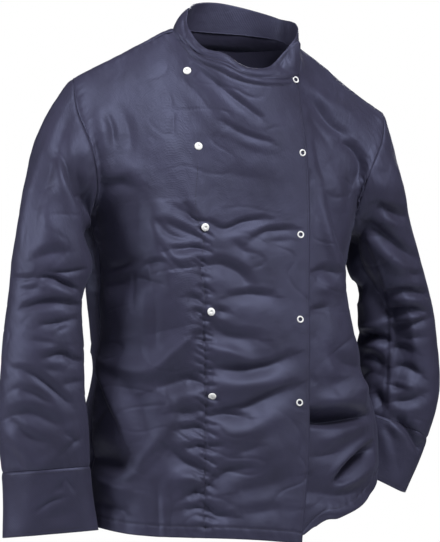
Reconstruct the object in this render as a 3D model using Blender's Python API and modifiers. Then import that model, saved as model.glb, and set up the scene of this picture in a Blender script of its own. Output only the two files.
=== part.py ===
"""Chef shirt: a double-breasted twill jacket with a stand collar, long cuffed sleeves and press studs.

It keeps the hollow form that it has when worn: fronts, back, sleeves, cuffs and collar are open
sheets with a real wall.  The front faces -Y, the right sleeve is on the -X side, +Z is up, and the
origin lies at the level of the shoulders, in the middle of the neck.
"""
import math

import bpy
import numpy as np
from mathutils import Vector
from mathutils.bvhtree import BVHTree

MM = 0.001
OBJECT_NAME = "chef_shirt"

# ------------------------------------------------------------------ cloth and trim, mm
CLOTH_WALL = 1.6
DOUBLED_WALL = 2.2
SEAM_GAP = 0.55                # between two panels' edges
ARMHOLE_GAP = 1.5              # along the left front's side edge, where the sleeve turns under
SLEEVE_GAP = 0.9               # at a sleeve's two ends, where the walls meet at an angle
LAP_GAP = 1.1                  # clear space between the overlap and the front beneath it
CAP_RADIUS = 5.6
CAP_HEIGHT = 2.4
RING_RADIUS = 3.7
RING_SECTION = 1.3
STUD_CLEARANCE = 0.5
MERGE_DISTANCE = 0.00001       # metres
STUD_SIDES = 12
# a cap's half section, as shares of its radius and height
CAP_SHAPE = [
    # radius, height
    (0.0, 0.0),
    (0.92, 0.0),
    (1.0, 0.35),
    (0.78, 0.8),
    (0.4, 0.97),
    (0.0, 1.0),
]
RING_SIDES = 6                 # round the ring's own section

# ------------------------------------------------------------------ grids
HEM_ROWS = 17                  # rows from the hem to the underarm
CHEST_ROWS = 11                # rows from the underarm to the shoulder
SIDE_COLUMNS = 12              # right side seam to the near edge of the overlap
LAP_COLUMNS = 12               # across the overlap
FAR_COLUMNS = 13               # overlap's free edge to the left side seam
BACK_COLUMNS = 30
FAR_NECK_COLUMNS = 4           # of the far columns, those along the neckline
SHOULDER_COLUMNS = 9           # of the back columns, those along each shoulder
UNDERLAP_FADE = 3              # columns over which the front beneath comes up to the surface
SLEEVE_FADE = 2                # rows over which a sleeve's folds fade at its two ends
SLEEVE_COLUMNS = 24
HEAD_ROWS = 8                  # sleeve rows from the armhole to the first arm section
ARM_ROWS = 13                  # sleeve rows from there to the cuff
CUFF_ROWS = 4
COLLAR_COLUMNS = 46
COLLAR_ROWS = 3

# ------------------------------------------------------------------ three-quarter view
# Folds and sleeves are placed in the plane of a three-quarter view: across, up and towards, in mm.
VIEW_TURN = math.radians(-23)
VIEW_RISE = math.radians(-6)
ACROSS = np.array([math.cos(VIEW_TURN), math.sin(VIEW_TURN), 0.0])
TOWARDS = np.array([
    math.sin(VIEW_TURN) * math.cos(VIEW_RISE),
    -math.cos(VIEW_TURN) * math.cos(VIEW_RISE),
    math.sin(VIEW_RISE),
])
UP = np.cross(TOWARDS, ACROSS)
REAR_TURN = math.radians(180)
REAR_ACROSS = np.array([math.cos(REAR_TURN), math.sin(REAR_TURN), 0.0])
REAR_TOWARDS = np.array([math.sin(REAR_TURN), -math.cos(REAR_TURN), 0.0])
REAR_UP = np.array([0.0, 0.0, 1.0])

# ------------------------------------------------------------------ body
BODY_MIDDLE_Y = 8.0
ROUNDNESS = 0.86               # below 1 the sections are squarer than an ellipse
# height, then how far the cloth reaches to each side of the middle
BODY = np.array([
    # z,   right, left, front, back
    (-745, 214, 216, 112, 128),
    (-720, 213, 214, 112, 128),
    (-640, 211, 216, 111, 124),
    (-580, 209, 204, 110, 118),
    (-515, 204, 195, 109, 110),
    (-460, 198, 188, 108, 104),
    (-410, 203, 181, 106, 99),
    (-375, 209, 177, 103, 98),
    (-337, 210, 173, 101, 98),
    (-300, 211, 178, 98, 102),
    (-264, 214, 186, 95, 108),
])
UNDERARM_Z = -268.0
UNDERARM_SLANT = 4.0           # the left underarm hangs this much below the middle, the right above
# height of the hem round the body; 0 is the middle of the front, 90 the left side
HEM = np.array([
    # degrees, z
    (-180, -682),
    (-135, -684),
    (-90, -700),
    (-50, -719),
    (0, -723),
    (14, -724),
    (17, -723),
    (20, -706),
    (34, -685),
    (52, -662),
    (68, -637),
    (80, -621),
    (95, -627),
    (120, -655),
    (150, -674),
    (180, -682),
])
UNDERLAP_RISE = 16.0           # the front beneath ends this much above the overlap's hem
# the overlap's two long edges, as distance from the middle of the front
LAP_EDGES = np.array([
    # z,   near edge, free edge
    (-720, -88, 67),
    (-620, -88, 78),
    (-500, -88, 81),
    (-400, -88, 83),
    (-264, -88, 89),
])

# armholes: a loop from the shoulder tip down the front, under the arm and up the back
ARMHOLE_STEP = 45
RIGHT_ARMHOLE = np.array([
    (-240, 5, -72),
    (-243, -24, -118),
    (-230, -49, -176),
    (-218, -40, -234),
    (-214, 8, -264),
    (-222, 56, -232),
    (-236, 78, -172),
    (-244, 50, -114),
], float)
LEFT_ARMHOLE = np.array([
    (236, 5, -97),
    (225, -24, -138),
    (197, -44, -186),
    (182, -30, -238),
    (186, 8, -272),
    (203, 64, -240),
    (226, 88, -186),
    (239, 56, -134),
], float)

# shoulder seams, tip to neck
RIGHT_SHOULDER = np.array([
    (-240, 5, -72),
    (-178, 5, -40),
    (-124, 5, -10),
    (-100, 4, 3),
    (-86, 2, 7),
], float)
LEFT_SHOULDER = np.array([
    (236, 5, -97),
    (174, 6, -57),
    (136, 5, -29),
    (104, 2, -10),
], float)

# neckline from the right neck point round the front to the overlap's corner, and on to the left
LAP_NECKLINE = np.array([
    (-86, 2, 7),
    (-78, -24, -18),
    (-64, -44, -36),
    (-34, -66, -50),
    (-8, -74, -63),
    (18, -73, -66),
    (45, -66, -66),
    (66, -56, -64),
    (90, -39, -55),
], float)
FAR_NECKLINE = np.array([(90, -39, -55), (101, -20, -32), (104, 2, -10)], float)
BACK_NECKLINE = np.array([
    (104, 2, -10),
    (93, 36, 3),
    (56, 60, 11),
    (10, 68, 14),
    (-38, 60, 14),
    (-70, 34, 12),
    (-86, 2, 7),
], float)

# how the cloth leaves the underarm level and meets the shoulder and neck
RISE_PULL = 0.9
SHOULDER_LEAN = np.array([0.0, 0.72, 0.69])
NECK_LEAN = np.array([0.0, 0.35, 0.94])
BACK_SHOULDER_LEAN = np.array([0.0, -0.62, 0.78])
LEAN_PASSES = 40               # evens out the lean from one column to the next
CHEST_PASSES = 10              # evens out the sheet between its edges
ARMHOLE_REACH = 0.34           # share of a front's width that the armhole's curve draws along

# ------------------------------------------------------------------ sleeves
# the middle of the arm and half its width and depth, in the three-quarter view; the cuff's rows
# come last, from the seam to the opening
CUFF_TABLE_ROWS = 3
RIGHT_ARM = np.array([
    # across, up, towards, half width, half depth
    (-252, -322, 172, 55, 47),
    (-260, -371, 176, 52, 46),
    (-262, -437, 182, 56, 47),
    (-264, -500, 188, 59, 46),
    (-262, -556, 190, 62, 43),
    (-258, -611, 190, 61, 37),
    (-255, -652, 190, 62, 34),
    (-251, -700, 190, 66, 32),
])
LEFT_ARM = np.array([
    (215, -318, -104, 53, 50),
    (233, -386, -122, 53, 48),
    (237, -440, -128, 56, 46),
    (241, -484, -126, 55, 42),
    (239, -520, -116, 52, 38),
    (231, -552, -107, 50, 33),
    (216, -585, -100, 52, 30),
    (199, -622, -92, 52, 28),
])
ARM_ROUNDNESS = 0.92
RIGHT_DROP = 1.3               # how steeply each sleeve leaves the shoulder tip
LEFT_DROP = 3.0
UNDERARM_SEAM_GAP = 3.4        # the sleeve leaves the armhole beyond the front's own wall there
SLEEVE_TURN_IN = 0.12          # how much a sleeve turns towards the other side of the body
SLEEVE_LEAVE_PULL = 1.1        # how far a sleeve keeps the direction in which it left

# ------------------------------------------------------------------ collar
COLLAR_SEAT = 2.0              # where it stands on the neckline, its foot is this far above
COLLAR_TUCK = 3.4              # where it is tucked in, its foot lies this far inside the neckline
TUCK_DEPTH = 3.0               # and this far below it
FOOT_BEND = 0.55               # share of the lean that the collar has at its foot
# the free end on the overlap comes last; the first rows are the end beneath it
COLLAR = np.array([
    # x,  y,   z, height, lean outwards in degrees, how far tucked in (0.5 in, 1 in and down)
    (44, -59, -67, 18, -50, 0),
    (66, -49, -60, 28, -36, 0),
    (93, -27, -38, 34, -10, 0),
    (103, 2, -10, 31, 0, 0.5),
    (92, 36, 3, 32, 2, 1),
    (56, 60, 11, 38, 2, 1),
    (10, 68, 14, 43, -2, 1),
    (-38, 60, 14, 40, -18, 1),
    (-70, 34, 12, 36, -34, 1),
    (-86, 2, 7, 31, -38, 0.5),
    (-78, -24, -18, 19, -36, 0),
    (-64, -44, -36, 15, -44, 0),
    (-34, -66, -50, 19, -44, 0),
    (-8, -74, -63, 15, -46, 0),
    (18, -73, -66, 16, -46, 0),
    (45, -66, -66, 22, -34, 0),
    (66, -56, -64, 38, -14, 0),
    (88, -41, -57, 50, 2, 0),
])

# ------------------------------------------------------------------ press studs
# one row for each pair: the cap's place and the ring's
STUDS = np.array([
    # cap x, cap z, ring x, ring z
    (-81, -57, 79, -64),
    (-78, -167, 79, -170),
    (-75, -283, 72, -287),
    (-70, -403, 67, -408),
    (-69, -522, 64, -526),
])

# ------------------------------------------------------------------ folds
# depth outwards (minus is a trough), half width, then the path across and up in the view
FACING_START = 0.05            # a fold starts where the cloth turns this much to its view
FACING_SPAN = 0.35             # and is whole this much further
FOLD_POINTS = 14
TAPER_FLOOR = 0.35             # share of its depth that a fold keeps at its two ends
TAPER_POWER = 0.7
FRONT_RIGHT_FOLDS = [
    (-5, 13, [(-47, -41), (7, -87), (31, -104)]),
    (-4, 12, [(-25, -121), (52, -149)]),
    (-5, 14, [(-145, -99), (-134, -151)]),
    (-5, 13, [(-173, -120), (-154, -168)]),
    (6, 20, [(-190, -196), (-141, -190), (-120, -213)]),
    (-14, 34, [(-196, -262), (-160, -300), (-120, -330)]),
    (-5, 11, [(-189, -344), (-106, -323)]),
    (7, 18, [(-106, -467), (-69, -439), (-39, -392)]),
    (-5, 12, [(-6, -268), (49, -258)]),
    (-5, 12, [(28, -286), (56, -275), (90, -274)]),
    (-5, 11, [(-38, -326), (4, -326), (23, -347)]),
    (-4, 12, [(-1, -369), (31, -364), (56, -369)]),
    (-6, 13, [(-27, -474), (27, -474), (54, -453)]),
    (-6, 13, [(31, -520), (56, -512), (87, -491)]),
    (-4, 10, [(-27, -544), (3, -530), (23, -540)]),
    (-5, 12, [(-32, -634), (-3, -608), (27, -606)]),
    (-5, 12, [(-78, -587), (-41, -608)]),
    (-4, 11, [(-70, -651), (-39, -634)]),
    (-6, 13, [(-92, -640), (-90, -689)]),
    (9, 17, [(-185, -448), (-148, -555)]),
    (-14, 24, [(-186, -560), (-152, -612)]),
    (8, 20, [(-120, -520), (-104, -600), (-112, -680)]),
]
FRONT_LEFT_FOLDS = [
    (-6, 12, [(106, -77), (140, -104), (173, -140)]),
    (5, 11, [(116, -96), (162, -140)]),
    (-5, 11, [(118, -124), (158, -168)]),
    (-6, 12, [(161, -155), (186, -166), (186, -202)]),
    (7, 13, [(128, -213), (141, -293), (158, -354)]),
    (-9, 15, [(152, -230), (160, -300), (168, -350)]),
    (-9, 16, [(140, -470), (172, -480)]),
    (16, 34, [(150, -440), (192, -520)]),
    (-12, 13, [(110, -541), (161, -544), (189, -533)]),
    (9, 12, [(130, -566), (180, -568)]),
    (-10, 12, [(204, -572), (154, -604), (182, -600)]),
    (7, 12, [(120, -620), (160, -636)]),
]
SLEEVE_RIGHT_FOLDS = [
    (7, 15, [(-241, -180), (-203, -274)]),
    (-7, 14, [(-218, -170), (-190, -262)]),
    (-6, 11, [(-272, -312), (-243, -302)]),
    (-9, 12, [(-261, -340), (-216, -357)]),
    (-6, 11, [(-261, -406), (-220, -398)]),
    (-6, 10, [(-268, -429), (-228, -433)]),
    (-7, 11, [(-251, -448), (-212, -455)]),
    (-8, 12, [(-275, -477), (-227, -516)]),
    (-8, 12, [(-292, -522), (-259, -574)]),
    (-7, 11, [(-216, -564), (-240, -592)]),
]
SLEEVE_LEFT_FOLDS = [
    (-7, 11, [(234, -385), (278, -389)]),
    (-6, 10, [(189, -413), (224, -429)]),
    (-7, 10, [(237, -446), (261, -446)]),
    (-7, 10, [(232, -466), (269, -477)]),
    (-6, 9, [(222, -492), (250, -496)]),
    (-7, 10, [(241, -520), (272, -512)]),
    (6, 14, [(262, -180), (284, -340)]),
]
# the back, in a view from straight behind
BACK_FOLDS = [
    (7, 30, [(120, -110), (112, -220)]),
    (7, 30, [(-120, -126), (-112, -230)]),
    (-7, 18, [(190, -240), (120, -300), (60, -320)]),
    (-6, 17, [(-186, -250), (-120, -322), (-70, -340)]),
    (-6, 16, [(150, -360), (40, -390), (-60, -384)]),
    (-6, 15, [(60, -440), (-50, -452), (-140, -430)]),
    (8, 24, [(110, -500), (96, -600), (112, -690)]),
    (-8, 22, [(58, -520), (40, -620), (50, -700)]),
    (8, 24, [(-10, -540), (-20, -620), (-14, -700)]),
    (-8, 22, [(-80, -520), (-74, -620), (-90, -690)]),
    (8, 22, [(-140, -520), (-136, -600), (-146, -670)]),
    (10, 22, [(196, -470), (200, -560)]),
]
SLEEVE_REAR_FOLDS = [
    (-7, 12, [(300, -390), (250, -372)]),
    (-7, 12, [(292, -430), (250, -452)]),
    (-6, 11, [(300, -520), (262, -500)]),
    (-7, 12, [(-276, -330), (-230, -350)]),
    (-8, 12, [(-300, -430), (-250, -420)]),
    (-7, 11, [(-302, -462), (-262, -480)]),
]

NAVY = (0.050, 0.056, 0.098, 1.0)
WHITE = (0.86, 0.87, 0.88, 1.0)
CLOTH_ROUGHNESS = 0.62
PLASTIC_ROUGHNESS = 0.35


# ------------------------------------------------------------------ curves and fields
def spline(knots, values, at):
    """A smooth curve through the values, with its slope at each knot taken from the neighbours."""
    knots = np.asarray(knots, float)
    values = np.asarray(values, float)
    at = np.clip(np.asarray(at, float), knots[0], knots[-1])
    slopes = np.gradient(values, knots, axis=0)
    span = np.clip(np.searchsorted(knots, at, side="right") - 1, 0, len(knots) - 2)
    width = knots[span + 1] - knots[span]
    t = (at - knots[span]) / width
    if values.ndim > 1:
        t = t[..., None]
        width = width[..., None]
    start = (2 * t**3 - 3 * t**2 + 1) * values[span] + (t**3 - 2 * t**2 + t) * width * slopes[span]
    end = (3 * t**2 - 2 * t**3) * values[span + 1] + (t**3 - t**2) * width * slopes[span + 1]
    return start + end


def along(points, count):
    """Evenly spaced points on the smooth curve through a short list of points."""
    knots = np.concatenate([[0.0], np.cumsum(np.linalg.norm(np.diff(points, axis=0), axis=1))])
    return spline(knots, points, np.linspace(0.0, knots[-1], count))


def unit(vectors):
    return vectors / np.maximum(np.linalg.norm(vectors, axis=-1, keepdims=True), 1e-9)


def softened(values, passes):
    """Each row of values drawn towards its neighbours, with the two ends kept."""
    values = values.copy()
    for _ in range(passes):
        values[1:-1] = (values[:-2] + 2 * values[1:-1] + values[2:]) / 4
    return values


def from_view(across, up, towards):
    return across * ACROSS + up * UP + towards * TOWARDS


def armhole(loop, angles):
    """Points of an armhole; 0 is the shoulder tip, 90 the front, 180 the underarm, 270 the back."""
    wrapped = np.vstack([loop[-3:], loop, loop[:3]])
    knots = ARMHOLE_STEP * np.arange(-3, len(loop) + 3)
    return spline(knots, wrapped, angles)


def body_point(degrees, z):
    """A point of the body at a height; 0 is the middle of the front and 90 the left side."""
    right, left, front, back = (spline(BODY[:, 0], BODY[:, column], z) for column in range(1, 5))
    angle = np.radians(degrees)
    side = np.where(np.sin(angle) < 0, right, left)
    depth = np.where(np.cos(angle) > 0, front, back)
    x = side * np.sign(np.sin(angle)) * np.abs(np.sin(angle)) ** ROUNDNESS
    y = BODY_MIDDLE_Y - depth * np.sign(np.cos(angle)) * np.abs(np.cos(angle)) ** ROUNDNESS
    return np.stack([x, y, z], axis=-1)


def degrees_at(x, z):
    """The angle on the front of the body that lies a given distance from the middle."""
    right, left = (spline(BODY[:, 0], BODY[:, column], z) for column in (1, 2))
    share = np.clip(np.abs(x) / np.where(x < 0, right, left), 0.0, 1.0)
    return np.degrees(np.sign(x) * np.arcsin(share ** (1 / ROUNDNESS)))


def normals(grid, closed):
    """Unit normals of a grid of points, rows by columns."""
    down = np.gradient(grid, axis=0)
    if closed:
        side = (np.roll(grid, -1, axis=1) - np.roll(grid, 1, axis=1)) / 2
    else:
        side = np.gradient(grid, axis=1)
    return unit(np.cross(side, down))


def fold_depths(grid, facing, folds, view):
    """How far each point moves outwards for a table of folds drawn in a view."""
    across, up, towards = view
    flat = np.stack([grid @ across, grid @ up], axis=-1)
    seen = np.clip((facing @ towards - FACING_START) / FACING_SPAN, 0.0, 1.0)
    total = np.zeros(grid.shape[:2])
    for depth, half_width, path in folds:
        line = along(np.array(path, float), FOLD_POINTS)
        step = np.diff(line, axis=0)
        offset = flat[:, :, None, :] - line[:-1]
        share = np.clip((offset * step).sum(-1) / (step**2).sum(-1), 0.0, 1.0)
        gap = np.linalg.norm(offset - share[..., None] * step, axis=-1)
        nearest = gap.argmin(-1)
        distance = np.take_along_axis(gap, nearest[..., None], -1)[..., 0]
        within = np.take_along_axis(share, nearest[..., None], -1)[..., 0]
        run = (nearest + within) / len(step)
        taper = TAPER_FLOOR + (1 - TAPER_FLOOR) * np.sin(math.pi * run) ** TAPER_POWER
        total += depth * taper * np.exp(-((distance / half_width) ** 2))
    return total * seen


FRONT_VIEW = (ACROSS, UP, TOWARDS)
REAR_VIEW = (REAR_ACROSS, REAR_UP, REAR_TOWARDS)


# ------------------------------------------------------------------ sheets
def lower_rows(degrees, rows):
    """The body below the underarm, from the hem up; one angle for each column at each height."""
    share = np.linspace(0.0, 1.0, rows)[:, None]
    hem = spline(HEM[:, 0], HEM[:, 1], (degrees[0] + 180) % 360 - 180)
    top = UNDERARM_Z - UNDERARM_SLANT * np.sin(np.radians(degrees[-1]))
    z = hem + (top - hem) * share
    return body_point(degrees, z)


def upper_rows(lower, top, left_edge, right_edge, top_lean):
    """The body above the underarm, drawn between its level, the shoulders and the two armholes."""
    rows = len(left_edge)
    bottom = lower[-1]
    v = np.linspace(0.0, 1.0, rows)[:, None, None]
    reach = np.linalg.norm(top - bottom, axis=-1, keepdims=True)
    rise = unit(bottom - lower[-2]) * RISE_PULL * reach
    lean = unit(softened(top_lean, LEAN_PASSES)) * RISE_PULL * reach
    sheet = (2 * v**3 - 3 * v**2 + 1) * bottom + (3 * v**2 - 2 * v**3) * top
    sheet = sheet + (v**3 - 2 * v**2 + v) * rise + (v**3 - v**2) * lean
    u = np.linspace(0.0, 1.0, bottom.shape[0])
    for edge, column, distance in ((left_edge, 0, u), (right_edge, -1, 1 - u)):
        pull = np.clip(1 - distance / ARMHOLE_REACH, 0.0, 1.0) ** 2
        sheet = sheet + pull[None, :, None] * (edge - sheet[:, column])[:, None, :]
    for _ in range(CHEST_PASSES):
        around = sheet[:-2, 1:-1] + sheet[2:, 1:-1] + sheet[1:-1, :-2] + sheet[1:-1, 2:]
        sheet[1:-1, 1:-1] = (sheet[1:-1, 1:-1] + around / 4) / 2
    return sheet


def front_sheet():
    """Both fronts as one grid, from the right side seam to the left one."""
    share = np.linspace(0.0, 1.0, HEM_ROWS)
    heights = LAP_EDGES[0, 0] + (UNDERARM_Z - LAP_EDGES[0, 0]) * share
    near = degrees_at(spline(LAP_EDGES[:, 0], LAP_EDGES[:, 1], heights), heights)
    free = degrees_at(spline(LAP_EDGES[:, 0], LAP_EDGES[:, 2], heights), heights)
    degrees = np.array([
        np.concatenate([
            np.linspace(-90, a, SIDE_COLUMNS + 1),
            np.linspace(a, b, LAP_COLUMNS + 1)[1:],
            np.linspace(b, 90, FAR_COLUMNS + 1)[1:],
        ])
        for a, b in zip(near, free)
    ])
    lower = lower_rows(degrees, HEM_ROWS)
    top = np.vstack([
        along(RIGHT_SHOULDER, SIDE_COLUMNS + 1),
        along(LAP_NECKLINE, LAP_COLUMNS + 1)[1:],
        along(FAR_NECKLINE, FAR_NECK_COLUMNS + 1)[1:],
        along(LEFT_SHOULDER[::-1], FAR_COLUMNS - FAR_NECK_COLUMNS + 1)[1:],
    ])
    lean = np.tile(SHOULDER_LEAN, (len(top), 1))
    lean[SIDE_COLUMNS + 1:SIDE_COLUMNS + LAP_COLUMNS + FAR_NECK_COLUMNS] = NECK_LEAN
    rows = CHEST_ROWS + 1
    right_edge = armhole(LEFT_ARMHOLE, np.linspace(180, 0, rows))
    left_edge = armhole(RIGHT_ARMHOLE, np.linspace(180, 0, rows))
    upper = upper_rows(lower, top, left_edge, right_edge, lean)
    return np.vstack([lower, upper[1:]])


def back_sheet():
    """The back as one grid, from the left side seam round to the right one."""
    degrees = np.tile(np.linspace(90, 270, BACK_COLUMNS + 1), (HEM_ROWS, 1))
    lower = lower_rows(degrees, HEM_ROWS)
    neck_columns = BACK_COLUMNS - 2 * SHOULDER_COLUMNS
    top = np.vstack([
        along(LEFT_SHOULDER, SHOULDER_COLUMNS + 1),
        along(BACK_NECKLINE, neck_columns + 1)[1:],
        along(RIGHT_SHOULDER[::-1], SHOULDER_COLUMNS + 1)[1:],
    ])
    rows = CHEST_ROWS + 1
    left_edge = armhole(LEFT_ARMHOLE, np.linspace(180, 360, rows))
    right_edge = armhole(RIGHT_ARMHOLE, np.linspace(180, 360, rows))
    lean = np.tile(BACK_SHOULDER_LEAN, (len(top), 1))
    upper = upper_rows(lower, top, left_edge, right_edge, lean)
    return np.vstack([lower, upper[1:]])


def trimmed(grid, left=0.0, right=0.0, top=0.0):
    """Draws a sheet's outer edges in by a seam gap, along the sheet itself."""
    grid = grid.copy()
    grid[:, 0] += left * unit(grid[:, 1] - grid[:, 0])
    grid[:, -1] += right * unit(grid[:, -2] - grid[:, -1])
    grid[-1] += top * unit(grid[-2] - grid[-1])
    return grid


def section(centre, half_width, half_depth, outwards, towards, angles):
    cosine = np.sign(np.cos(angles)) * np.abs(np.cos(angles)) ** ARM_ROUNDNESS
    sine = np.sign(np.sin(angles)) * np.abs(np.sin(angles)) ** ARM_ROUNDNESS
    return centre + half_width * cosine[:, None] * outwards + half_depth * sine[:, None] * towards


def tube(table, arm_rows, cuff_rows, side, angles):
    """Sections along an arm and its cuff; side is 1 for the left arm and -1 for the right."""
    seam = len(table) - CUFF_TABLE_ROWS
    steps = np.concatenate([
        np.linspace(0, seam, arm_rows + 1),
        np.linspace(seam, len(table) - 1, cuff_rows + 1)[1:],
    ])
    places = spline(np.arange(len(table)), table, steps)
    centres = np.array([from_view(*row[:3]) for row in places])
    axes = unit(np.gradient(centres, axis=0))
    rings = []
    for centre, axis, row in zip(centres, axes, places):
        outwards = unit(side * np.cross(axis, -TOWARDS))
        towards = unit(side * np.cross(axis, outwards))
        rings.append(section(centre, row[3], row[4], outwards, towards, angles))
    return np.array(rings), axes


def sleeve_sheet(loop, arm, side, steepness):
    """A sleeve from its armhole to the cuff, and the cuff, as rings of points."""
    turn = np.linspace(0, 360, SLEEVE_COLUMNS, endpoint=False)
    angles = np.radians(turn)
    rings, axes = tube(arm, ARM_ROWS, CUFF_ROWS, side, angles)
    cuff = rings[ARM_ROWS:].copy()
    rings[ARM_ROWS] -= SLEEVE_GAP * axes[ARM_ROWS]
    rings = rings[:ARM_ROWS + 1]
    start = armhole(loop, turn)
    drop = steepness * ((1 + np.cos(angles)) / 2) ** 2
    turn_in = -SLEEVE_TURN_IN * np.sin(angles)
    leave = unit(np.stack([side * np.ones_like(angles), turn_in, -drop], axis=-1))
    gap = SLEEVE_GAP + (UNDERARM_SEAM_GAP - SLEEVE_GAP) * np.clip(-np.cos(angles), 0, 1)
    start = start + gap[:, None] * leave
    reach = np.linalg.norm(rings[0] - start, axis=-1, keepdims=True)
    t = np.linspace(0.0, 1.0, HEAD_ROWS + 1)[:-1, None, None]
    head = (2 * t**3 - 3 * t**2 + 1) * start + (3 * t**2 - 2 * t**3) * rings[0]
    head = head + (t**3 - 2 * t**2 + t) * reach * leave * SLEEVE_LEAVE_PULL
    head = head + (t**3 - t**2) * reach * axes[0]
    return np.vstack([head, rings]), cuff


def collar_sheet():
    """The collar band, from the end beneath round the neck to the end on the overlap."""
    base = COLLAR[:, :3]
    knots = np.concatenate([[0.0], np.cumsum(np.linalg.norm(np.diff(base, axis=0), axis=1))])
    places = spline(knots, COLLAR, np.linspace(0.0, knots[-1], COLLAR_COLUMNS + 1))
    run = unit(np.gradient(places[:, :3], axis=0) * np.array([1.0, 1.0, 0.0]))
    outwards = np.cross(run, np.array([0.0, 0.0, 1.0]))
    tucked = places[:, 5:6]
    inset = np.clip(2 * tucked, 0, 1)
    sink = np.clip(2 * tucked - 1, 0, 1)
    foot = places[:, :3] - COLLAR_TUCK * inset * outwards
    foot[:, 2:] += COLLAR_SEAT - (COLLAR_SEAT + TUCK_DEPTH) * sink
    lean = np.radians(places[:, 4])[:, None]
    rows = []
    for share in np.linspace(0.0, 1.0, COLLAR_ROWS + 1):
        bend = lean * (FOOT_BEND + (1 - FOOT_BEND) * share)
        height = places[:, 3:4] * share
        rows.append(foot + height * (outwards * np.sin(bend) + np.array([0, 0, 1.0]) * np.cos(bend)))
    return np.array(rows)


# ------------------------------------------------------------------ building
def material(name, colour, roughness):
    made = bpy.data.materials.new(name)
    made.use_nodes = True
    shader = made.node_tree.nodes["Principled BSDF"]
    shader.inputs["Base Color"].default_value = colour
    shader.inputs["Roughness"].default_value = roughness
    shader.inputs["Metallic"].default_value = 0.0
    made.diffuse_color = colour
    return made


def add_sheet(collection, name, grid, closed, wall, outwards=1.0):
    """A grid of points as an open surface with a Solidify wall on its outer side."""
    rows, columns = grid.shape[:2]
    faces = []
    for row in range(rows - 1):
        for column in range(columns if closed else columns - 1):
            after = (column + 1) % columns
            corners = [
                row * columns + column,
                row * columns + after,
                (row + 1) * columns + after,
                (row + 1) * columns + column,
            ]
            faces.append(corners if outwards > 0 else corners[::-1])
    mesh = bpy.data.meshes.new(name)
    mesh.from_pydata((grid.reshape(-1, 3) * MM).tolist(), [], faces)
    mesh.update()
    made = bpy.data.objects.new(name, mesh)
    collection.objects.link(made)
    shell = made.modifiers.new("wall", "SOLIDIFY")
    shell.thickness = wall * MM
    shell.offset = 1.0
    shell.use_even_offset = True
    shell.use_quality_normals = True
    mesh.materials.append(material(name + "_cloth", NAVY, CLOTH_ROUGHNESS))
    return made


def panel_tree(made):
    """A search tree over a panel's finished wall."""
    graph = bpy.context.evaluated_depsgraph_get()
    return BVHTree.FromObject(made, graph)


def add_stud(collection, name, profile, tree, x, z):
    """A turned press-stud piece, seated on the panel where a line from the front meets it."""
    hit, normal, _, _ = tree.ray_cast(Vector((x * MM, -1.0, z * MM)), Vector((0.0, 1.0, 0.0)))
    mesh = bpy.data.meshes.new(name)
    closed = profile[0] == profile[-1]
    points = profile[:-1] if closed else profile
    edges = [(i, i + 1) for i in range(len(points) - 1)]
    if closed:
        edges.append((len(points) - 1, 0))
    mesh.from_pydata([(r * MM, 0.0, h * MM) for r, h in points], edges, [])
    made = bpy.data.objects.new(name, mesh)
    collection.objects.link(made)
    turned = made.modifiers.new("turned", "SCREW")
    turned.angle = math.tau
    turned.steps = STUD_SIDES
    turned.render_steps = STUD_SIDES
    turned.use_merge_vertices = True
    turned.merge_threshold = MERGE_DISTANCE
    turned.use_normal_calculate = True
    made.rotation_mode = "QUATERNION"
    made.rotation_quaternion = normal.to_track_quat("Z", "Y")
    made.location = hit + normal * STUD_CLEARANCE * MM
    mesh.materials.append(material(name + "_plastic", WHITE, PLASTIC_ROUGHNESS))
    return made


def cap_profile():
    return [(CAP_RADIUS * radius, CAP_HEIGHT * height) for radius, height in CAP_SHAPE]


def ring_profile():
    points = []
    for index in range(RING_SIDES + 1):
        angle = math.tau * (index % RING_SIDES) / RING_SIDES
        points.append((
            RING_RADIUS + RING_SECTION * math.cos(angle),
            RING_SECTION * (1 + math.sin(angle)),
        ))
    return points


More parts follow.
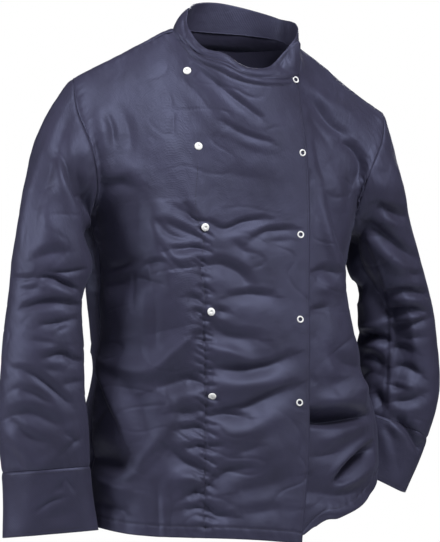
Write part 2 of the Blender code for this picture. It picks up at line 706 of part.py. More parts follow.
def build():
    for old in list(bpy.data.objects):
        bpy.data.objects.remove(old, do_unlink=True)
    collection = bpy.data.collections.new(OBJECT_NAME)
    bpy.context.scene.collection.children.link(collection)

    sheet = front_sheet()
    facing = normals(sheet, False)
    right_depth = fold_depths(sheet, facing, FRONT_RIGHT_FOLDS, FRONT_VIEW)
    left_depth = fold_depths(sheet, facing, FRONT_LEFT_FOLDS, FRONT_VIEW)
    lap_start = SIDE_COLUMNS
    lap_end = SIDE_COLUMNS + LAP_COLUMNS
    right_grid = sheet[:, :lap_end + 1] + right_depth[:, :lap_end + 1, None] * facing[:, :lap_end + 1]

    under = np.clip(1 - (np.arange(sheet.shape[1]) - lap_end) / UNDERLAP_FADE, 0.0, 1.0)
    depth = under * right_depth + (1 - under) * left_depth - (CLOTH_WALL + LAP_GAP) * under
    left_grid = (sheet + depth[..., None] * facing)[:, lap_start:]
    rise = np.linalg.norm(left_grid[1] - left_grid[0], axis=-1, keepdims=True)
    lift = UNDERLAP_RISE * (np.arange(left_grid.shape[1]) <= LAP_COLUMNS)[:, None]
    left_grid[0] += (left_grid[1] - left_grid[0]) * lift / rise

    back = back_sheet()
    back_facing = normals(back, False)
    back = back + fold_depths(back, back_facing, BACK_FOLDS, REAR_VIEW)[..., None] * back_facing

    right_grid = trimmed(right_grid, left=SEAM_GAP, top=SEAM_GAP)
    left_grid = trimmed(left_grid, right=ARMHOLE_GAP, top=SEAM_GAP)
    front = add_sheet(collection, "front_right", right_grid, False, CLOTH_WALL)
    add_sheet(collection, "front_left", left_grid, False, CLOTH_WALL)
    add_sheet(collection, "back", back, False, CLOTH_WALL)

    sides = (
        ("right", -1, RIGHT_ARMHOLE, RIGHT_ARM, RIGHT_DROP, SLEEVE_RIGHT_FOLDS),
        ("left", 1, LEFT_ARMHOLE, LEFT_ARM, LEFT_DROP, SLEEVE_LEFT_FOLDS),
    )
    for name, side, loop, arm, steepness, folds in sides:
        sleeve, cuff = sleeve_sheet(loop, arm, side, steepness)
        sleeve_facing = normals(sleeve, True) * side
        sleeve_depth = fold_depths(sleeve, sleeve_facing, folds, FRONT_VIEW)
        sleeve_depth += fold_depths(sleeve, sleeve_facing, SLEEVE_REAR_FOLDS, REAR_VIEW)
        row = np.arange(len(sleeve))
        sleeve_depth *= np.clip(np.minimum(row, len(sleeve) - 1 - row) / SLEEVE_FADE, 0, 1)[:, None]
        sleeve = sleeve + sleeve_depth[..., None] * sleeve_facing
        add_sheet(collection, "sleeve_" + name, sleeve, True, CLOTH_WALL, side)
        add_sheet(collection, "cuff_" + name, cuff, True, DOUBLED_WALL, side)

    add_sheet(collection, "collar", collar_sheet(), False, DOUBLED_WALL)

    tree = panel_tree(front)
    for number, (cap_x, cap_z, ring_x, ring_z) in enumerate(STUDS, 1):
        add_stud(collection, "stud_cap_%d" % number, cap_profile(), tree, cap_x, cap_z)
        add_stud(collection, "stud_ring_%d" % number, ring_profile(), tree, ring_x, ring_z)


build()
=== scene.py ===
"""Looks of a double-breasted chef shirt, worn and hollow: cloth shells with their folds, seams and
stitches, press studs, soft studio light and a camera at three-quarter view.

The front faces -Y, the right sleeve is on the -X side and +Z is up.  Sizes are in mm unless named
otherwise, and the row frame is in metres.
"""
import math

import bpy
import numpy as np
from mathutils import Matrix, Vector
from mathutils.bvhtree import BVHTree


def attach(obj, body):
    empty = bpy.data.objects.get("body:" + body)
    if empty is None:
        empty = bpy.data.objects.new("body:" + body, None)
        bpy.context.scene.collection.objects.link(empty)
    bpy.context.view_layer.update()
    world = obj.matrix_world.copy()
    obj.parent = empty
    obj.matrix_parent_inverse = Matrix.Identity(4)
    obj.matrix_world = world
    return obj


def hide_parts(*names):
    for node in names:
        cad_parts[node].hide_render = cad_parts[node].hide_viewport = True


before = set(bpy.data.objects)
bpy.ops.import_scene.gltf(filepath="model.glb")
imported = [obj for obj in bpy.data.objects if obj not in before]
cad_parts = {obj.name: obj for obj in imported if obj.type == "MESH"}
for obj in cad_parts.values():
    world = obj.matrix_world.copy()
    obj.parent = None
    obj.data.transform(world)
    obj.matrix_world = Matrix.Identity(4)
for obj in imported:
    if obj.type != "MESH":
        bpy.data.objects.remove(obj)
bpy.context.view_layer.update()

MM = 0.001

# ------------------------------------------------------------------ grids
HEM_ROWS = 17  # from the hem to the underarm
CHEST_ROWS = 11  # from the underarm to the shoulder
SIDE_COLUMNS = 12  # right side seam to the near edge of the overlap
LAP_COLUMNS = 12  # across the overlap
FAR_COLUMNS = 13  # overlap's free edge to the left side seam
FAR_NECK_COLUMNS = 4  # of the far columns, those along the neckline
BACK_COLUMNS = 30
SHOULDER_COLUMNS = 9  # of the back columns, those along each shoulder
SLEEVE_COLUMNS = 24
HEAD_ROWS = 8  # sleeve rows from the armhole to the first arm section
ARM_ROWS = 13  # sleeve rows from there to the cuff
CUFF_ROWS = 4
COLLAR_COLUMNS = 46
COLLAR_ROWS = 3
# fine steps in each row and column; they are closest where the overlap creases most
ROW_STEPS = [14] * (HEM_ROWS - 1) + [9] * CHEST_ROWS
FRONT_STEPS = [4] * 8 + [9] * 6 + [5] * (10 + FAR_COLUMNS)
BACK_STEPS = 4
SLEEVE_ROW_STEPS = 8
SLEEVE_COLUMN_STEPS = 5
COLLAR_ROW_STEPS = 6
COLLAR_COLUMN_STEPS = 5

# ------------------------------------------------------------------ views
# Folds and sleeves are placed in the plane of a three-quarter view: across, up and towards.
VIEW_TURN = math.radians(-23)
VIEW_RISE = math.radians(-6)
ACROSS = np.array([math.cos(VIEW_TURN), math.sin(VIEW_TURN), 0.0])
TOWARDS = np.array([
    math.sin(VIEW_TURN) * math.cos(VIEW_RISE),
    -math.cos(VIEW_TURN) * math.cos(VIEW_RISE),
    math.sin(VIEW_RISE),
])
UP = np.cross(TOWARDS, ACROSS)
X, Y, Z = np.eye(3)
FRONT_VIEW = (ACROSS, UP, TOWARDS)
REAR_VIEW = (-X, Z, Y)
LEFT_VIEW = (Y, Z, X)
RIGHT_VIEW = (-Y, Z, -X)
LAP_VIEW = (np.array([0.866, 0.5, 0.0]), Z, np.array([0.5, -0.866, 0.0]))  # from the front, a little left
UNDER_VIEW = (-Y, Z, np.array([0.55, -0.45, -0.70]))  # from below the right sleeve

# ------------------------------------------------------------------ body
BODY_MIDDLE_Y = 8.0
ROUNDNESS = 0.86  # below 1 the sections are squarer than an ellipse
# height, then how far the cloth reaches to each side of the middle
BODY = np.array([
    # z, right, left, front, back
    (-745, 214, 216, 112, 128),
    (-720, 213, 214, 112, 128),
    (-640, 211, 216, 111, 124),
    (-580, 209, 204, 110, 118),
    (-515, 204, 195, 109, 110),
    (-460, 198, 188, 108, 104),
    (-410, 203, 181, 106, 99),
    (-375, 209, 177, 103, 98),
    (-337, 210, 173, 101, 98),
    (-300, 211, 178, 98, 102),
    (-264, 214, 186, 95, 108),
])
UNDERARM_Z = -268.0
UNDERARM_SLANT = 4.0  # the left underarm hangs this much below the middle, the right above
# height of the hem round the body, as degrees and z; 0 is the middle of the front, 90 the left side
HEM = np.array([
    (-180, -682), (-135, -684), (-90, -700), (-50, -719), (0, -723), (14, -724), (17, -723), (20, -706),
    (34, -685), (52, -662), (68, -637), (80, -621), (95, -627), (120, -655), (150, -674), (180, -682),
])
# the overlap's two long edges, as distance from the middle of the front
LAP_EDGES = np.array([
    # z, near edge, free edge
    (-720, -88, 67),
    (-620, -88, 78),
    (-500, -88, 81),
    (-400, -88, 83),
    (-264, -88, 89),
])
# armholes: x, y, z of a loop from the shoulder tip down the front, under the arm and up the back
ARMHOLE_STEP = 45
RIGHT_ARMHOLE = np.array([
    (-240, 5, -72), (-243, -24, -118), (-230, -49, -176), (-218, -40, -234),
    (-214, 8, -264), (-222, 56, -232), (-236, 78, -172), (-244, 50, -114),
], float)
LEFT_ARMHOLE = np.array([
    (236, 5, -97), (225, -24, -138), (197, -44, -186), (182, -30, -238),
    (186, 8, -272), (203, 64, -240), (226, 88, -186), (239, 56, -134),
], float)
# shoulder seams, tip to neck
RIGHT_SHOULDER = np.array([(-240, 5, -72), (-178, 5, -40), (-124, 5, -10), (-100, 4, 3), (-86, 2, 7)], float)
LEFT_SHOULDER = np.array([(236, 5, -97), (174, 6, -57), (136, 5, -29), (104, 2, -10)], float)
# neckline from the right neck point round the front to the overlap's corner, and on to the left
LAP_NECKLINE = np.array([
    (-86, 2, 7), (-78, -24, -18), (-64, -44, -36), (-34, -66, -50), (-8, -74, -63),
    (18, -73, -66), (45, -66, -66), (66, -56, -64), (90, -39, -55),
], float)
FAR_NECKLINE = np.array([(90, -39, -55), (101, -20, -32), (104, 2, -10)], float)
BACK_NECKLINE = np.array([
    (104, 2, -10), (93, 36, 3), (56, 60, 11), (10, 68, 14), (-38, 60, 14), (-70, 34, 12), (-86, 2, 7),
], float)
# how the cloth leaves the underarm level and meets the shoulder and neck
RISE_PULL = 0.9
SHOULDER_LEAN = np.array([0.0, 0.72, 0.69])
NECK_LEAN = np.array([0.0, 0.35, 0.94])
BACK_SHOULDER_LEAN = np.array([0.0, -0.62, 0.78])
LEAN_PASSES = 40  # evens out the lean from one column to the next
CHEST_PASSES = 10  # evens out the sheet between its edges
ARMHOLE_REACH = 0.34  # share of a front's width that the armhole's curve draws along

# ------------------------------------------------------------------ sleeves
# the middle of the arm and half its width and depth, in the three-quarter view; the cuff's rows
# come last, from the seam to the opening
CUFF_TABLE_ROWS = 3
RIGHT_ARM = np.array([
    # across, up, towards, half width, half depth
    (-252, -322, 172, 55, 47),
    (-260, -371, 176, 52, 46),
    (-262, -437, 182, 56, 47),
    (-264, -500, 188, 59, 46),
    (-262, -556, 190, 62, 43),
    (-258, -611, 190, 61, 37),
    (-255, -652, 190, 62, 34),
    (-251, -700, 190, 66, 32),
])
LEFT_ARM = np.array([
    (215, -318, -104, 53, 50),
    (233, -386, -122, 53, 48),
    (237, -440, -128, 56, 46),
    (241, -484, -126, 55, 42),
    (239, -520, -116, 52, 38),
    (231, -552, -107, 50, 33),
    (216, -585, -100, 52, 30),
    (199, -622, -92, 52, 28),
])
ARM_ROUNDNESS = 0.92
RIGHT_DROP = 1.3  # how steeply each sleeve leaves the shoulder tip
LEFT_DROP = 3.0
SLEEVE_GAP = 1.2  # between two sewn sheets
UNDERARM_SEAM_GAP = 3.4  # the sleeve leaves the armhole beyond the front's own wall there
SLEEVE_TURN_IN = 0.12  # how much a sleeve turns towards the other side of the body
SLEEVE_LEAVE_PULL = 1.1  # how far a sleeve keeps the direction in which it left
LEFT_CUFF_DROOP = 6.0  # the near side of the left cuff's opening hangs lower, the far side higher

# ------------------------------------------------------------------ collar
COLLAR_SEAT = 2.0  # where it stands on the neckline, its foot is this far above
COLLAR_TUCK = 3.4  # where it is tucked in, its foot lies this far inside the neckline
TUCK_DEPTH = 3.0  # and this far below it
FOOT_BEND = 0.55  # share of the lean that the collar has at its foot
CORNER_RADIUS = 7.0  # of its two upper corners
# the free end on the overlap comes last; the first rows are the end beneath it
COLLAR = np.array([
    # x, y, z, height, lean outwards in degrees, how far tucked in (0.5 in, 1 in and down)
    (44, -59, -67, 18, -50, 0),
    (66, -49, -60, 28, -36, 0),
    (93, -27, -38, 34, -10, 0),
    (103, 2, -10, 31, 0, 0.5),
    (92, 36, 3, 32, 2, 1),
    (56, 60, 11, 38, 2, 1),
    (10, 68, 14, 43, -2, 1),
    (-38, 60, 14, 40, -18, 1),
    (-70, 34, 12, 36, -34, 1),
    (-86, 2, 7, 31, -38, 0.5),
    (-78, -24, -18, 19, -36, 0),
    (-64, -44, -36, 15, -44, 0),
    (-34, -66, -50, 19, -44, 0),
    (-8, -74, -63, 15, -46, 0),
    (18, -73, -66, 16, -46, 0),
    (45, -66, -66, 22, -34, 0),
    (66, -56, -64, 38, -14, 0),
    (88, -41, -57, 50, 2, 0),
])
# how it goes on inside the shirt: down, inwards at the front, outwards at the back
COLLAR_SEAM = ((22.0, 3.8, 12.0), (15.0, 3.8, 7.0), (9.0, 3.8, 3.4), (4.0, 3.4, 1.2))

# ------------------------------------------------------------------ cloth, seams and small creases
# for each edge of a sheet, the axis that crosses it and whether it lies at that axis's end
EDGES = {"left": (1, False), "right": (1, True), "bottom": (0, False), "top": (0, True)}
FLANGE_ORDER = ("bottom", "top", "left", "right")
WALL = 1.1
DOUBLE_WALL = 1.9
SEAM_SET_BACK = 0.1  # beyond a wall's thickness, how far an edge stays behind its seam
FLANGE = (4.0, 1.2)  # how deep a seam's turned-in edge goes: its end, and a step on the way
SEAM_DIP = 1.1
SEAM_REACH = 3.4
SEAM_PUCKER = (0.5, 17.0, 7.0)  # height, pitch and reach of the ripples beside a seam
CUFF_SEAM_SHARE = 0.6  # of all that, on the stiffer cuff
HEM_TURN = 16.0
HEM_DIP = 0.8
HEM_LINE_REACH = 1.5
HEM_PUCKER = (0.5, 23.0, 9.0)  # the same for the hem's stitched line
HEM_SEED = 7
UNDER_GAP = WALL + 0.9  # how far the front beneath lies under the overlap
UNDERLAP_FADE = 3  # columns over which the front beneath comes up to the surface
TUCK_ROWS = 6  # fine rows drawn up at the hem beneath the overlap, and fine columns of fading beyond
TUCK_SHARE = 0.9
LEFT_OFFSET = np.array([7.0, 400.0, 0.0])  # so that the front beneath is rumpled in its own way
LEFT_OFFSET_X = 60  # where x is below this
ARMHOLE_FADE = 14.0  # folds fade over this distance from an armhole
FADE_ROWS = 28  # fine rows below the underarm over which that fading begins
SLEEVE_FADE = 1.5 * SLEEVE_ROW_STEPS  # fine rows over which folds fade in from the armhole
BESIDE_FADE = 0.7 * SLEEVE_ROW_STEPS  # and those beside the body
CUFF_SOFTNESS = 0.5  # share of the rumpling that a cuff loses a little way from its seam
COLLAR_RUMPLE = (0.5, 1.7)  # height and closeness of the collar's
SWELL_WAVES = 14
SWELL_RATES = (1.6, 3.6)  # how far a wave turns over one size, in radians
SWELL_HEIGHT = 0.8
RUMPLES = (
    # height, size along x, y, z, seed
    (1.2, (70, 70, 95), 3),
    (0.6, (28, 28, 34), 5),
    (0.22, (10, 10, 11), 7),
)
# thin sharp crinkles, in patches: size along x, y, z, and seed
CRINKLES = ((46, 46, 26), 11)
CRINKLE_PATCHES = ((80, 80, 80), 13)
CRINKLE_SHARPNESS = 5
RIPPLE_SHARES = (1.0, 0.62, 1.83)  # of a ripple's pitch
# puckers across a stitched line, each between two limits
PUCKER_LENGTH = (5, 17)
PUCKER_SLOPE = (0.1, 0.7)
PUCKER_DEPTH = (1.8, 3.6)
PUCKER_WIDTH = (2.4, 3.8)
PUCKER_STEP = (0.5, 1.5)  # share of their pitch
PUCKER_LEAN = 0.4
PUCKER_PITCH = 11.0
FACING_SEED = 4
EDGE_PITCH = 15.0
EDGE_SEED = 9
# stitched lines, as distance from an edge
LAP_LINE = ("right", 5.0)
HEM_LINE = ("bottom", HEM_TURN)
CUFF_LINES = (("bottom", 3.0), ("top", 6.0))
COLLAR_LINES = (("bottom", 2.0), ("top", 5.0))

# ------------------------------------------------------------------ folds
FACING_START = 0.05  # a fold starts where the cloth turns this much to its view
FACING_SPAN = 0.35  # and is whole this much further
FOLD_POINTS = 14
POINTS_PER_KNOT = 4
TAPER_FLOOR = 0.35  # share of its depth that a fold keeps at its two ends
TAPER_POWER = 0.7
FOLD_REACH = 4.5  # beyond this many half widths a fold no longer counts
LEAN_SHARE = 0.75
FOLD_DEPTH = 1.15  # all folds are this much deeper than their tables say
CREASE_SLOPE = 1.2  # a trough's walls, the roundness of its bottom and the lips beside it
CREASE_ROUND = 0.12
CREASE_LIP = 0.14
LIP_SPREAD = 1.5
LIP_PLACE = 1.6
RIDGE_FOOT = 0.22  # how much the cloth dips beside a ridge
RIDGE_SHARPNESS = 0.6
# the stitched line down the right front's facing, and the outer one of the two below the collar
FACING_LINE = [
    (-45, -175), (-45, -260), (-38, -280), (-41, -335), (-36, -358), (-38, -402), (-35, -452), (-34, -486),
    (-33, -524), (-35, -580), (-34, -624), (-35, -658), (-34, -699), (-34, -740),
]
NECK_LINE = [
    (-72, -8), (-54, -29), (-37, -40), (-13, -51), (3, -60), (21, -66), (43, -70), (69, -71), (86, -69),
]
# where the front beneath shows short creases beside the overlap's edge
EDGE_LINE = [(103, -560), (104, -620), (102, -690)]
# Folds of the cloth, drawn in the three-quarter view: depth outwards (minus is a trough), half width,
# how much steeper its left side is than its right (from -1 to 1), then the path across and up.
FRONT_RIGHT_FOLDS = [
    (-1.7, 2.8, 0, FACING_LINE[1:]),
    # below the neckline
    (-1.4, 2.6, 0, NECK_LINE),
    (1.4, 3, 0, [(-60, -14), (-38, -33), (-10, -45), (6, -54), (22, -61), (45, -65), (82, -65)]),
    (-4.6, 6, 0.5, [(-49, -43), (-21, -64), (10, -90), (44, -116)]),
    (-2.4, 7, 0.3, [(-66, -62), (-40, -86), (-22, -110)]),
    (-3.4, 6, 0.5, [(-10, -121), (20, -138), (60, -151)]),
    (-1.6, 10, 0.3, [(-2, -146), (30, -162), (66, -170)]),
    (-1.2, 10, 0.3, [(-4, -196), (20, -199), (50, -201)]),
    (2, 22, 0, [(-110, -60), (-90, -150), (-70, -210)]),
    # beside the armhole
    (3, 10, 0, [(-182, -112), (-177, -150), (-173, -188)]),
    (-3, 6, 0.3, [(-172, -112), (-165, -130), (-163, -150)]),
    (-2.6, 8, 0.2, [(-152, -105), (-141, -130), (-138, -160)]),
    (-7, 8, 0, [(-193, -146), (-190, -188)]),
    # lower edge of the chest and the shaded waist below it
    (4.5, 12, -0.4, [(-180, -188), (-162, -196), (-146, -192), (-128, -204)]),
    (-4, 9, 0.5, [(-182, -208), (-150, -207), (-132, -216)]),
    (-10, 52, 0, [(-204, -228), (-200, -300), (-196, -370), (-190, -430)]),
    (-13, 44, -0.6, [(-190, -352), (-150, -344), (-112, -338)]),
    (10, 56, 0, [(-98, -232), (-92, -300), (-84, -360), (-72, -410)]),
    (4, 15, -0.4, [(-122, -214), (-106, -250), (-105, -285), (-92, -322), (-82, -350), (-74, -380),
     (-68, -402)]),
    (-3, 12, 0, [(-128, -236), (-124, -280), (-116, -306)]),
    (-3, 7, 0.3, [(-178, -326), (-152, -321), (-138, -317)]),
    (2, 5, 0, [(-188, -341), (-160, -334), (-136, -326)]),
    (-4.5, 6, 0.4, [(-116, -322), (-102, -319), (-90, -323)]),
    (-2, 5, 0.4, [(-128, -340), (-108, -348), (-94, -352)]),
    (-1.7, 2.6, 0, [(-136, -334), (-137, -360), (-135, -388)]),
    (1.4, 7, 0, [(-122, -350), (-120, -396), (-118, -430)]),
    (-1.6, 6, 0, [(-108, -362), (-104, -400), (-104, -436)]),
    (-3, 6, 0.2, [(-104, -262), (-88, -280), (-62, -288)]),
    (-2.5, 5, 0.4, [(-96, -300), (-84, -318), (-66, -330)]),
    # the long slack fold under the waist
    (6, 13, -0.4, [(-187, -454), (-157, -466), (-121, -473), (-92, -462), (-70, -440), (-50, -410)]),
    (1.8, 4, 0, [(-102, -469), (-82, -450), (-58, -426)]),
    (-7.5, 16, 0.3, [(-104, -496), (-74, -486), (-46, -475)]),
    (-4, 14, 0.3, [(-150, -486), (-124, -520), (-116, -560)]),
    # the side's slanted edge, the pocket behind it and the flare
    (8, 10, -0.9, [(-190, -456), (-169, -508), (-150, -552), (-144, -574)]),
    (-15, 17, -0.2, [(-194, -592), (-170, -596), (-148, -606)]),
    (-2, 4, 0, [(-198, -560), (-186, -542), (-175, -524)]),
    (4.5, 10, 0.3, [(-96, -508), (-82, -522), (-88, -552), (-108, -582), (-130, -609), (-146, -619)]),
    (3, 9, 0.6, [(-188, -626), (-162, -634), (-140, -638)]),
    (-5, 9, 0.3, [(-180, -656), (-150, -668)]),
    # soft pipes above the hem
    (2.2, 8, 0, [(-122, -640), (-119, -706)]),
    (-3, 8, 0, [(-102, -628), (-99, -706)]),
    (1.6, 7, 0, [(-92, -650), (-91, -706)]),
    (-2.4, 7, 0, [(-82, -640), (-84, -700)]),
    (-3, 9, 0, [(-150, -650), (-144, -704)]),
    (-2, 4, 0, [(-98, -576), (-110, -590), (-122, -606)]),
    # left of the stitched line, from the top down
    (-3.5, 8, 0.3, [(-82, -240), (-62, -252), (-44, -266)]),
    (-3.5, 7, 0.3, [(-66, -236), (-48, -256)]),
    (-5.5, 9, 0.4, [(-92, -264), (-62, -277), (-44, -286)]),
    (-5, 8, 0.5, [(-84, -303), (-60, -300), (-40, -298)]),
    (4.5, 10, 0, [(-90, -318), (-64, -314), (-44, -312)]),
    (-5, 7, 0.4, [(-62, -369), (-38, -370)]),
    (-4.5, 6, 0.4, [(-54, -388), (-38, -388)]),
    (-4.5, 7, 0.4, [(-54, -421), (-34, -421)]),
    (-5, 8, 0.4, [(-58, -481), (-34, -486)]),
    (5, 12, 0, [(-90, -510), (-60, -508), (-36, -512)]),
    (-4.5, 9, 0.5, [(-82, -530), (-55, -528), (-36, -526)]),
    (-6, 8, 0.5, [(-76, -553), (-52, -550), (-34, -548)]),
    (-4.5, 7, 0.5, [(-64, -579), (-36, -577)]),
    (-8, 11, 0.5, [(-82, -582), (-62, -597), (-34, -611)]),
    (4.5, 9, 0, [(-80, -624), (-50, -622), (-36, -624)]),
    (-5.5, 8, 0.5, [(-62, -647), (-36, -634)]),
    (-4.5, 8, 0.5, [(-66, -665), (-36, -662)]),
    # right of the stitched line
    (-5.5, 7, 0.6, [(-30, -262), (-10, -271), (20, -261), (50, -257)]),
    (-5.5, 8, 0.6, [(28, -289), (46, -277), (88, -272)]),
    (-3, 8, 0.4, [(50, -291), (86, -288)]),
    (-3, 7, 0.3, [(4, -290), (26, -308)]),
    (-6.5, 11, 0.4, [(-38, -324), (-10, -322), (12, -332), (28, -350)]),
    (-5.5, 9, 0.5, [(-2, -367), (25, -363), (60, -366)]),
    (-4, 6, 0.3, [(-20, -386), (-4, -389)]),
    (-6.5, 13, 0.4, [(-30, -406), (-6, -420), (36, -426)]),
    (5, 9, 0, [(-34, -441), (-4, -446), (28, -457)]),
    (-8, 10, 0.5, [(-22, -467), (20, -469), (52, -464), (86, -450)]),
    (5, 14, 0, [(-14, -494), (30, -492), (80, -480)]),
    (-7.5, 10, 0.5, [(-14, -525), (24, -521), (52, -508), (90, -492)]),
    (-6.5, 9, 0.5, [(-33, -536), (-8, -531), (22, -536)]),
    (4, 11, 0, [(-10, -564), (30, -556), (72, -534)]),
    (-4, 6, 0.5, [(-31, -574), (-10, -577)]),
    (-3, 8, 0.4, [(14, -586), (40, -578)]),
    (-6.5, 10, 0.5, [(-33, -636), (-4, -612), (32, -607)]),
    (3, 18, 0, [(24, -592), (72, -576)]),
    (-5, 20, 0.4, [(14, -640), (50, -632), (90, -620)]),
    (-6, 8, 0.5, [(-33, -657), (-20, -671), (2, -675)]),
    (-4, 12, 0.3, [(20, -672), (72, -664)]),
]
FRONT_LEFT_FOLDS = [
    (-7, 9, 0.4, [(104, -78), (122, -96), (147, -127), (168, -141)]),
    (3.5, 9, 0, [(112, -74), (140, -94), (176, -116)]),
    (-3.5, 7, 0.3, [(112, -110), (126, -130), (140, -150)]),
    (-9, 8, 0.3, [(160, -149), (175, -157), (185, -172), (186, -190), (179, -205)]),
    (-3.5, 7, 0, [(119, -143), (127, -176), (134, -206)]),
    (-4, 8, 0, [(114, -186), (116, -222), (115, -252)]),
    (8, 10, -0.3, [(124, -214), (133, -254), (142, -290), (152, -330), (160, -358)]),
    (-8, 11, 0, [(134, -218), (143, -250), (154, -290), (166, -320)]),
    (3, 10, 0, [(150, -190), (156, -250)]),
    (-5, 9, 0.4, [(112, -334), (138, -330), (152, -338)]),
    (4, 9, 0, [(114, -356), (150, -352)]),
    (-5, 9, 0.4, [(112, -386), (138, -382)]),
    (-4, 7, 0.4, [(113, -418), (124, -436)]),
    (-3.5, 7, 0.4, [(112, -470), (122, -492)]),
    # the bulge over the hip and its shaded hollow
    (16, 36, 0, [(156, -436), (192, -480), (200, -530)]),
    (-11, 15, -0.2, [(142, -446), (162, -464), (190, -474)]),
    (-4, 14, 0, [(140, -486), (172, -490)]),
    (5, 10, 0, [(150, -502), (176, -498), (200, -488)]),
    # the deep fold from under the overlap, and the twisted one below it
    (8, 10, -0.3, [(104, -516), (136, -518), (170, -522), (192, -536), (200, -556)]),
    (-25, 12, -0.6, [(70, -541), (106, -541), (137, -543), (164, -541), (188, -535)]),
    (6, 10, 0, [(100, -570), (140, -566), (182, -552)]),
    (-3, 6, 0.3, [(108, -590), (136, -590), (152, -586)]),
    (5, 6, 0.3, [(200, -556), (178, -580), (158, -602), (147, -618)]),
    (-18, 7, 0, [(208, -564), (186, -590), (166, -611), (153, -625)]),
    (-8, 6, 0, [(216, -554), (198, -576), (184, -592)]),
    (5, 6, -0.3, [(208, -592), (190, -614), (174, -628), (158, -633), (148, -627)]),
    (-8, 17, -0.3, [(84, -640), (114, -642), (156, -646), (200, -640)]),
    (2, 10, 0, [(112, -676), (150, -672), (184, -656)]),
]
# the same hip's side, in a view from the left
HIP_FOLDS = [
    (-7, 34, 0, [(0, -312), (0, -340), (0, -368)]),
    (18, 42, 0, [(0, -486), (0, -535), (0, -585), (0, -618)]),
]
# the back's right edge beside the right sleeve, in a view from the right
WAIST_RIGHT_FOLDS = [
    (-12, 32, 0, [(-44, -452), (-44, -500), (-44, -536)]),
]
COLLAR_FOLDS = [
    (1.6, 4, 0, [(-60, 34), (-57, 20), (-56, 4)]),
    (-1.4, 4, 0, [(-66, 24), (-64, 8), (-60, -8)]),
    (-2, 4, 0, [(82, -18), (82, -40)]),
    (1.8, 4, 0, [(88, -18), (89, -46)]),
    (-1.6, 5, 0, [(66, -34), (76, -46), (88, -52)]),
    (-5, 5, 0.4, [(-64, -6), (-46, -23), (-30, -27), (-12, -31), (2, -37), (14, -48)]),
    (-4, 5, 0.4, [(16, -52), (30, -55), (48, -57), (66, -55)]),
    (-3, 5, 0, [(78, -26), (70, -44)]),
]
SLEEVE_RIGHT_FOLDS = [
    (3, 7, 0, [(-226, -84), (-262, -173), (-284, -234), (-297, -279)]),
    (-3, 9, 0, [(-220, -100), (-248, -180), (-268, -240), (-276, -290)]),
    (7, 9, 0.3, [(-243, -172), (-233, -212), (-219, -243), (-204, -275)]),
    (-8, 9, 0, [(-237, -164), (-224, -196), (-213, -229), (-201, -256)]),
    (-6, 10, 0, [(-213, -168), (-208, -212), (-204, -242)]),
    (3, 6, 0, [(-200, -190), (-193, -222)]),
    (4, 14, 0, [(-262, -240), (-246, -296)]),
    (-4.5, 9, 0.3, [(-272, -313), (-251, -306), (-230, -304)]),
    (-4.5, 4, 0.5, [(-256, -332), (-222, -331), (-203, -328)]),
    (-9, 5.5, 0.5, [(-263, -339), (-243, -341), (-231, -347), (-214, -357)]),
    (3, 8, 0, [(-256, -356), (-236, -362), (-212, -367)]),
    (-3.5, 5, 0.4, [(-305, -341), (-268, -340)]),
    (-3, 7, 0.3, [(-297, -356), (-266, -356)]),
    (-7.5, 6.5, 0.5, [(-289, -382), (-268, -375), (-245, -372), (-212, -379)]),
    (-6, 5, 0.5, [(-262, -405), (-240, -402), (-216, -397)]),
    (-3, 3.5, 0.4, [(-243, -415), (-226, -409)]),
    (-3, 5, 0.4, [(-274, -428), (-246, -433)]),
    (2.5, 10, 0, [(-268, -440), (-240, -436)]),
    (-7.5, 6, 0.5, [(-256, -450), (-232, -446), (-217, -454), (-206, -457)]),
    (-2.5, 6, 0.3, [(-256, -467), (-238, -471)]),
    (-4, 5.5, 0.4, [(-230, -488), (-207, -485)]),
    (-7, 6.5, 0.5, [(-296, -466), (-278, -472), (-257, -486), (-224, -517)]),
    (-4.5, 7, 0.4, [(-294, -496), (-273, -502), (-250, -517)]),
    (-7, 11, 0.3, [(-308, -534), (-282, -529), (-256, -537), (-238, -548)]),
    (-4.5, 8, 0.4, [(-308, -540), (-284, -559), (-256, -573)]),
    (2.6, 10, 0, [(-307, -546), (-290, -584), (-266, -603), (-238, -587), (-223, -556)]),
    (-2.6, 3.5, 0.4, [(-230, -558), (-213, -570)]),
    (-3.6, 4, 0.3, [(-237, -590), (-226, -577), (-212, -566)]),
    (-3.5, 9, 0, [(-309, -580), (-292, -610)]),
    (1, 3, 0, [(-225, -486), (-222, -520), (-224, -556)]),
]
CUFF_RIGHT_FOLDS = [
    (-2.4, 3.2, 0, [(-246, -641), (-238, -631), (-231, -622)]),
    (-2.4, 3.2, 0, [(-230, -622), (-224, -630), (-218, -640)]),
    (-2, 3, 0, [(-240, -642), (-234, -632)]),
    (-3, 4, 0.5, [(-272, -667), (-254, -654), (-232, -647)]),
    (2, 14, 0, [(-278, -630), (-282, -690)]),
    (-2.2, 14, 0, [(-302, -630), (-302, -690)]),
    (-1.6, 8, 0.3, [(-262, -678), (-224, -670)]),
]
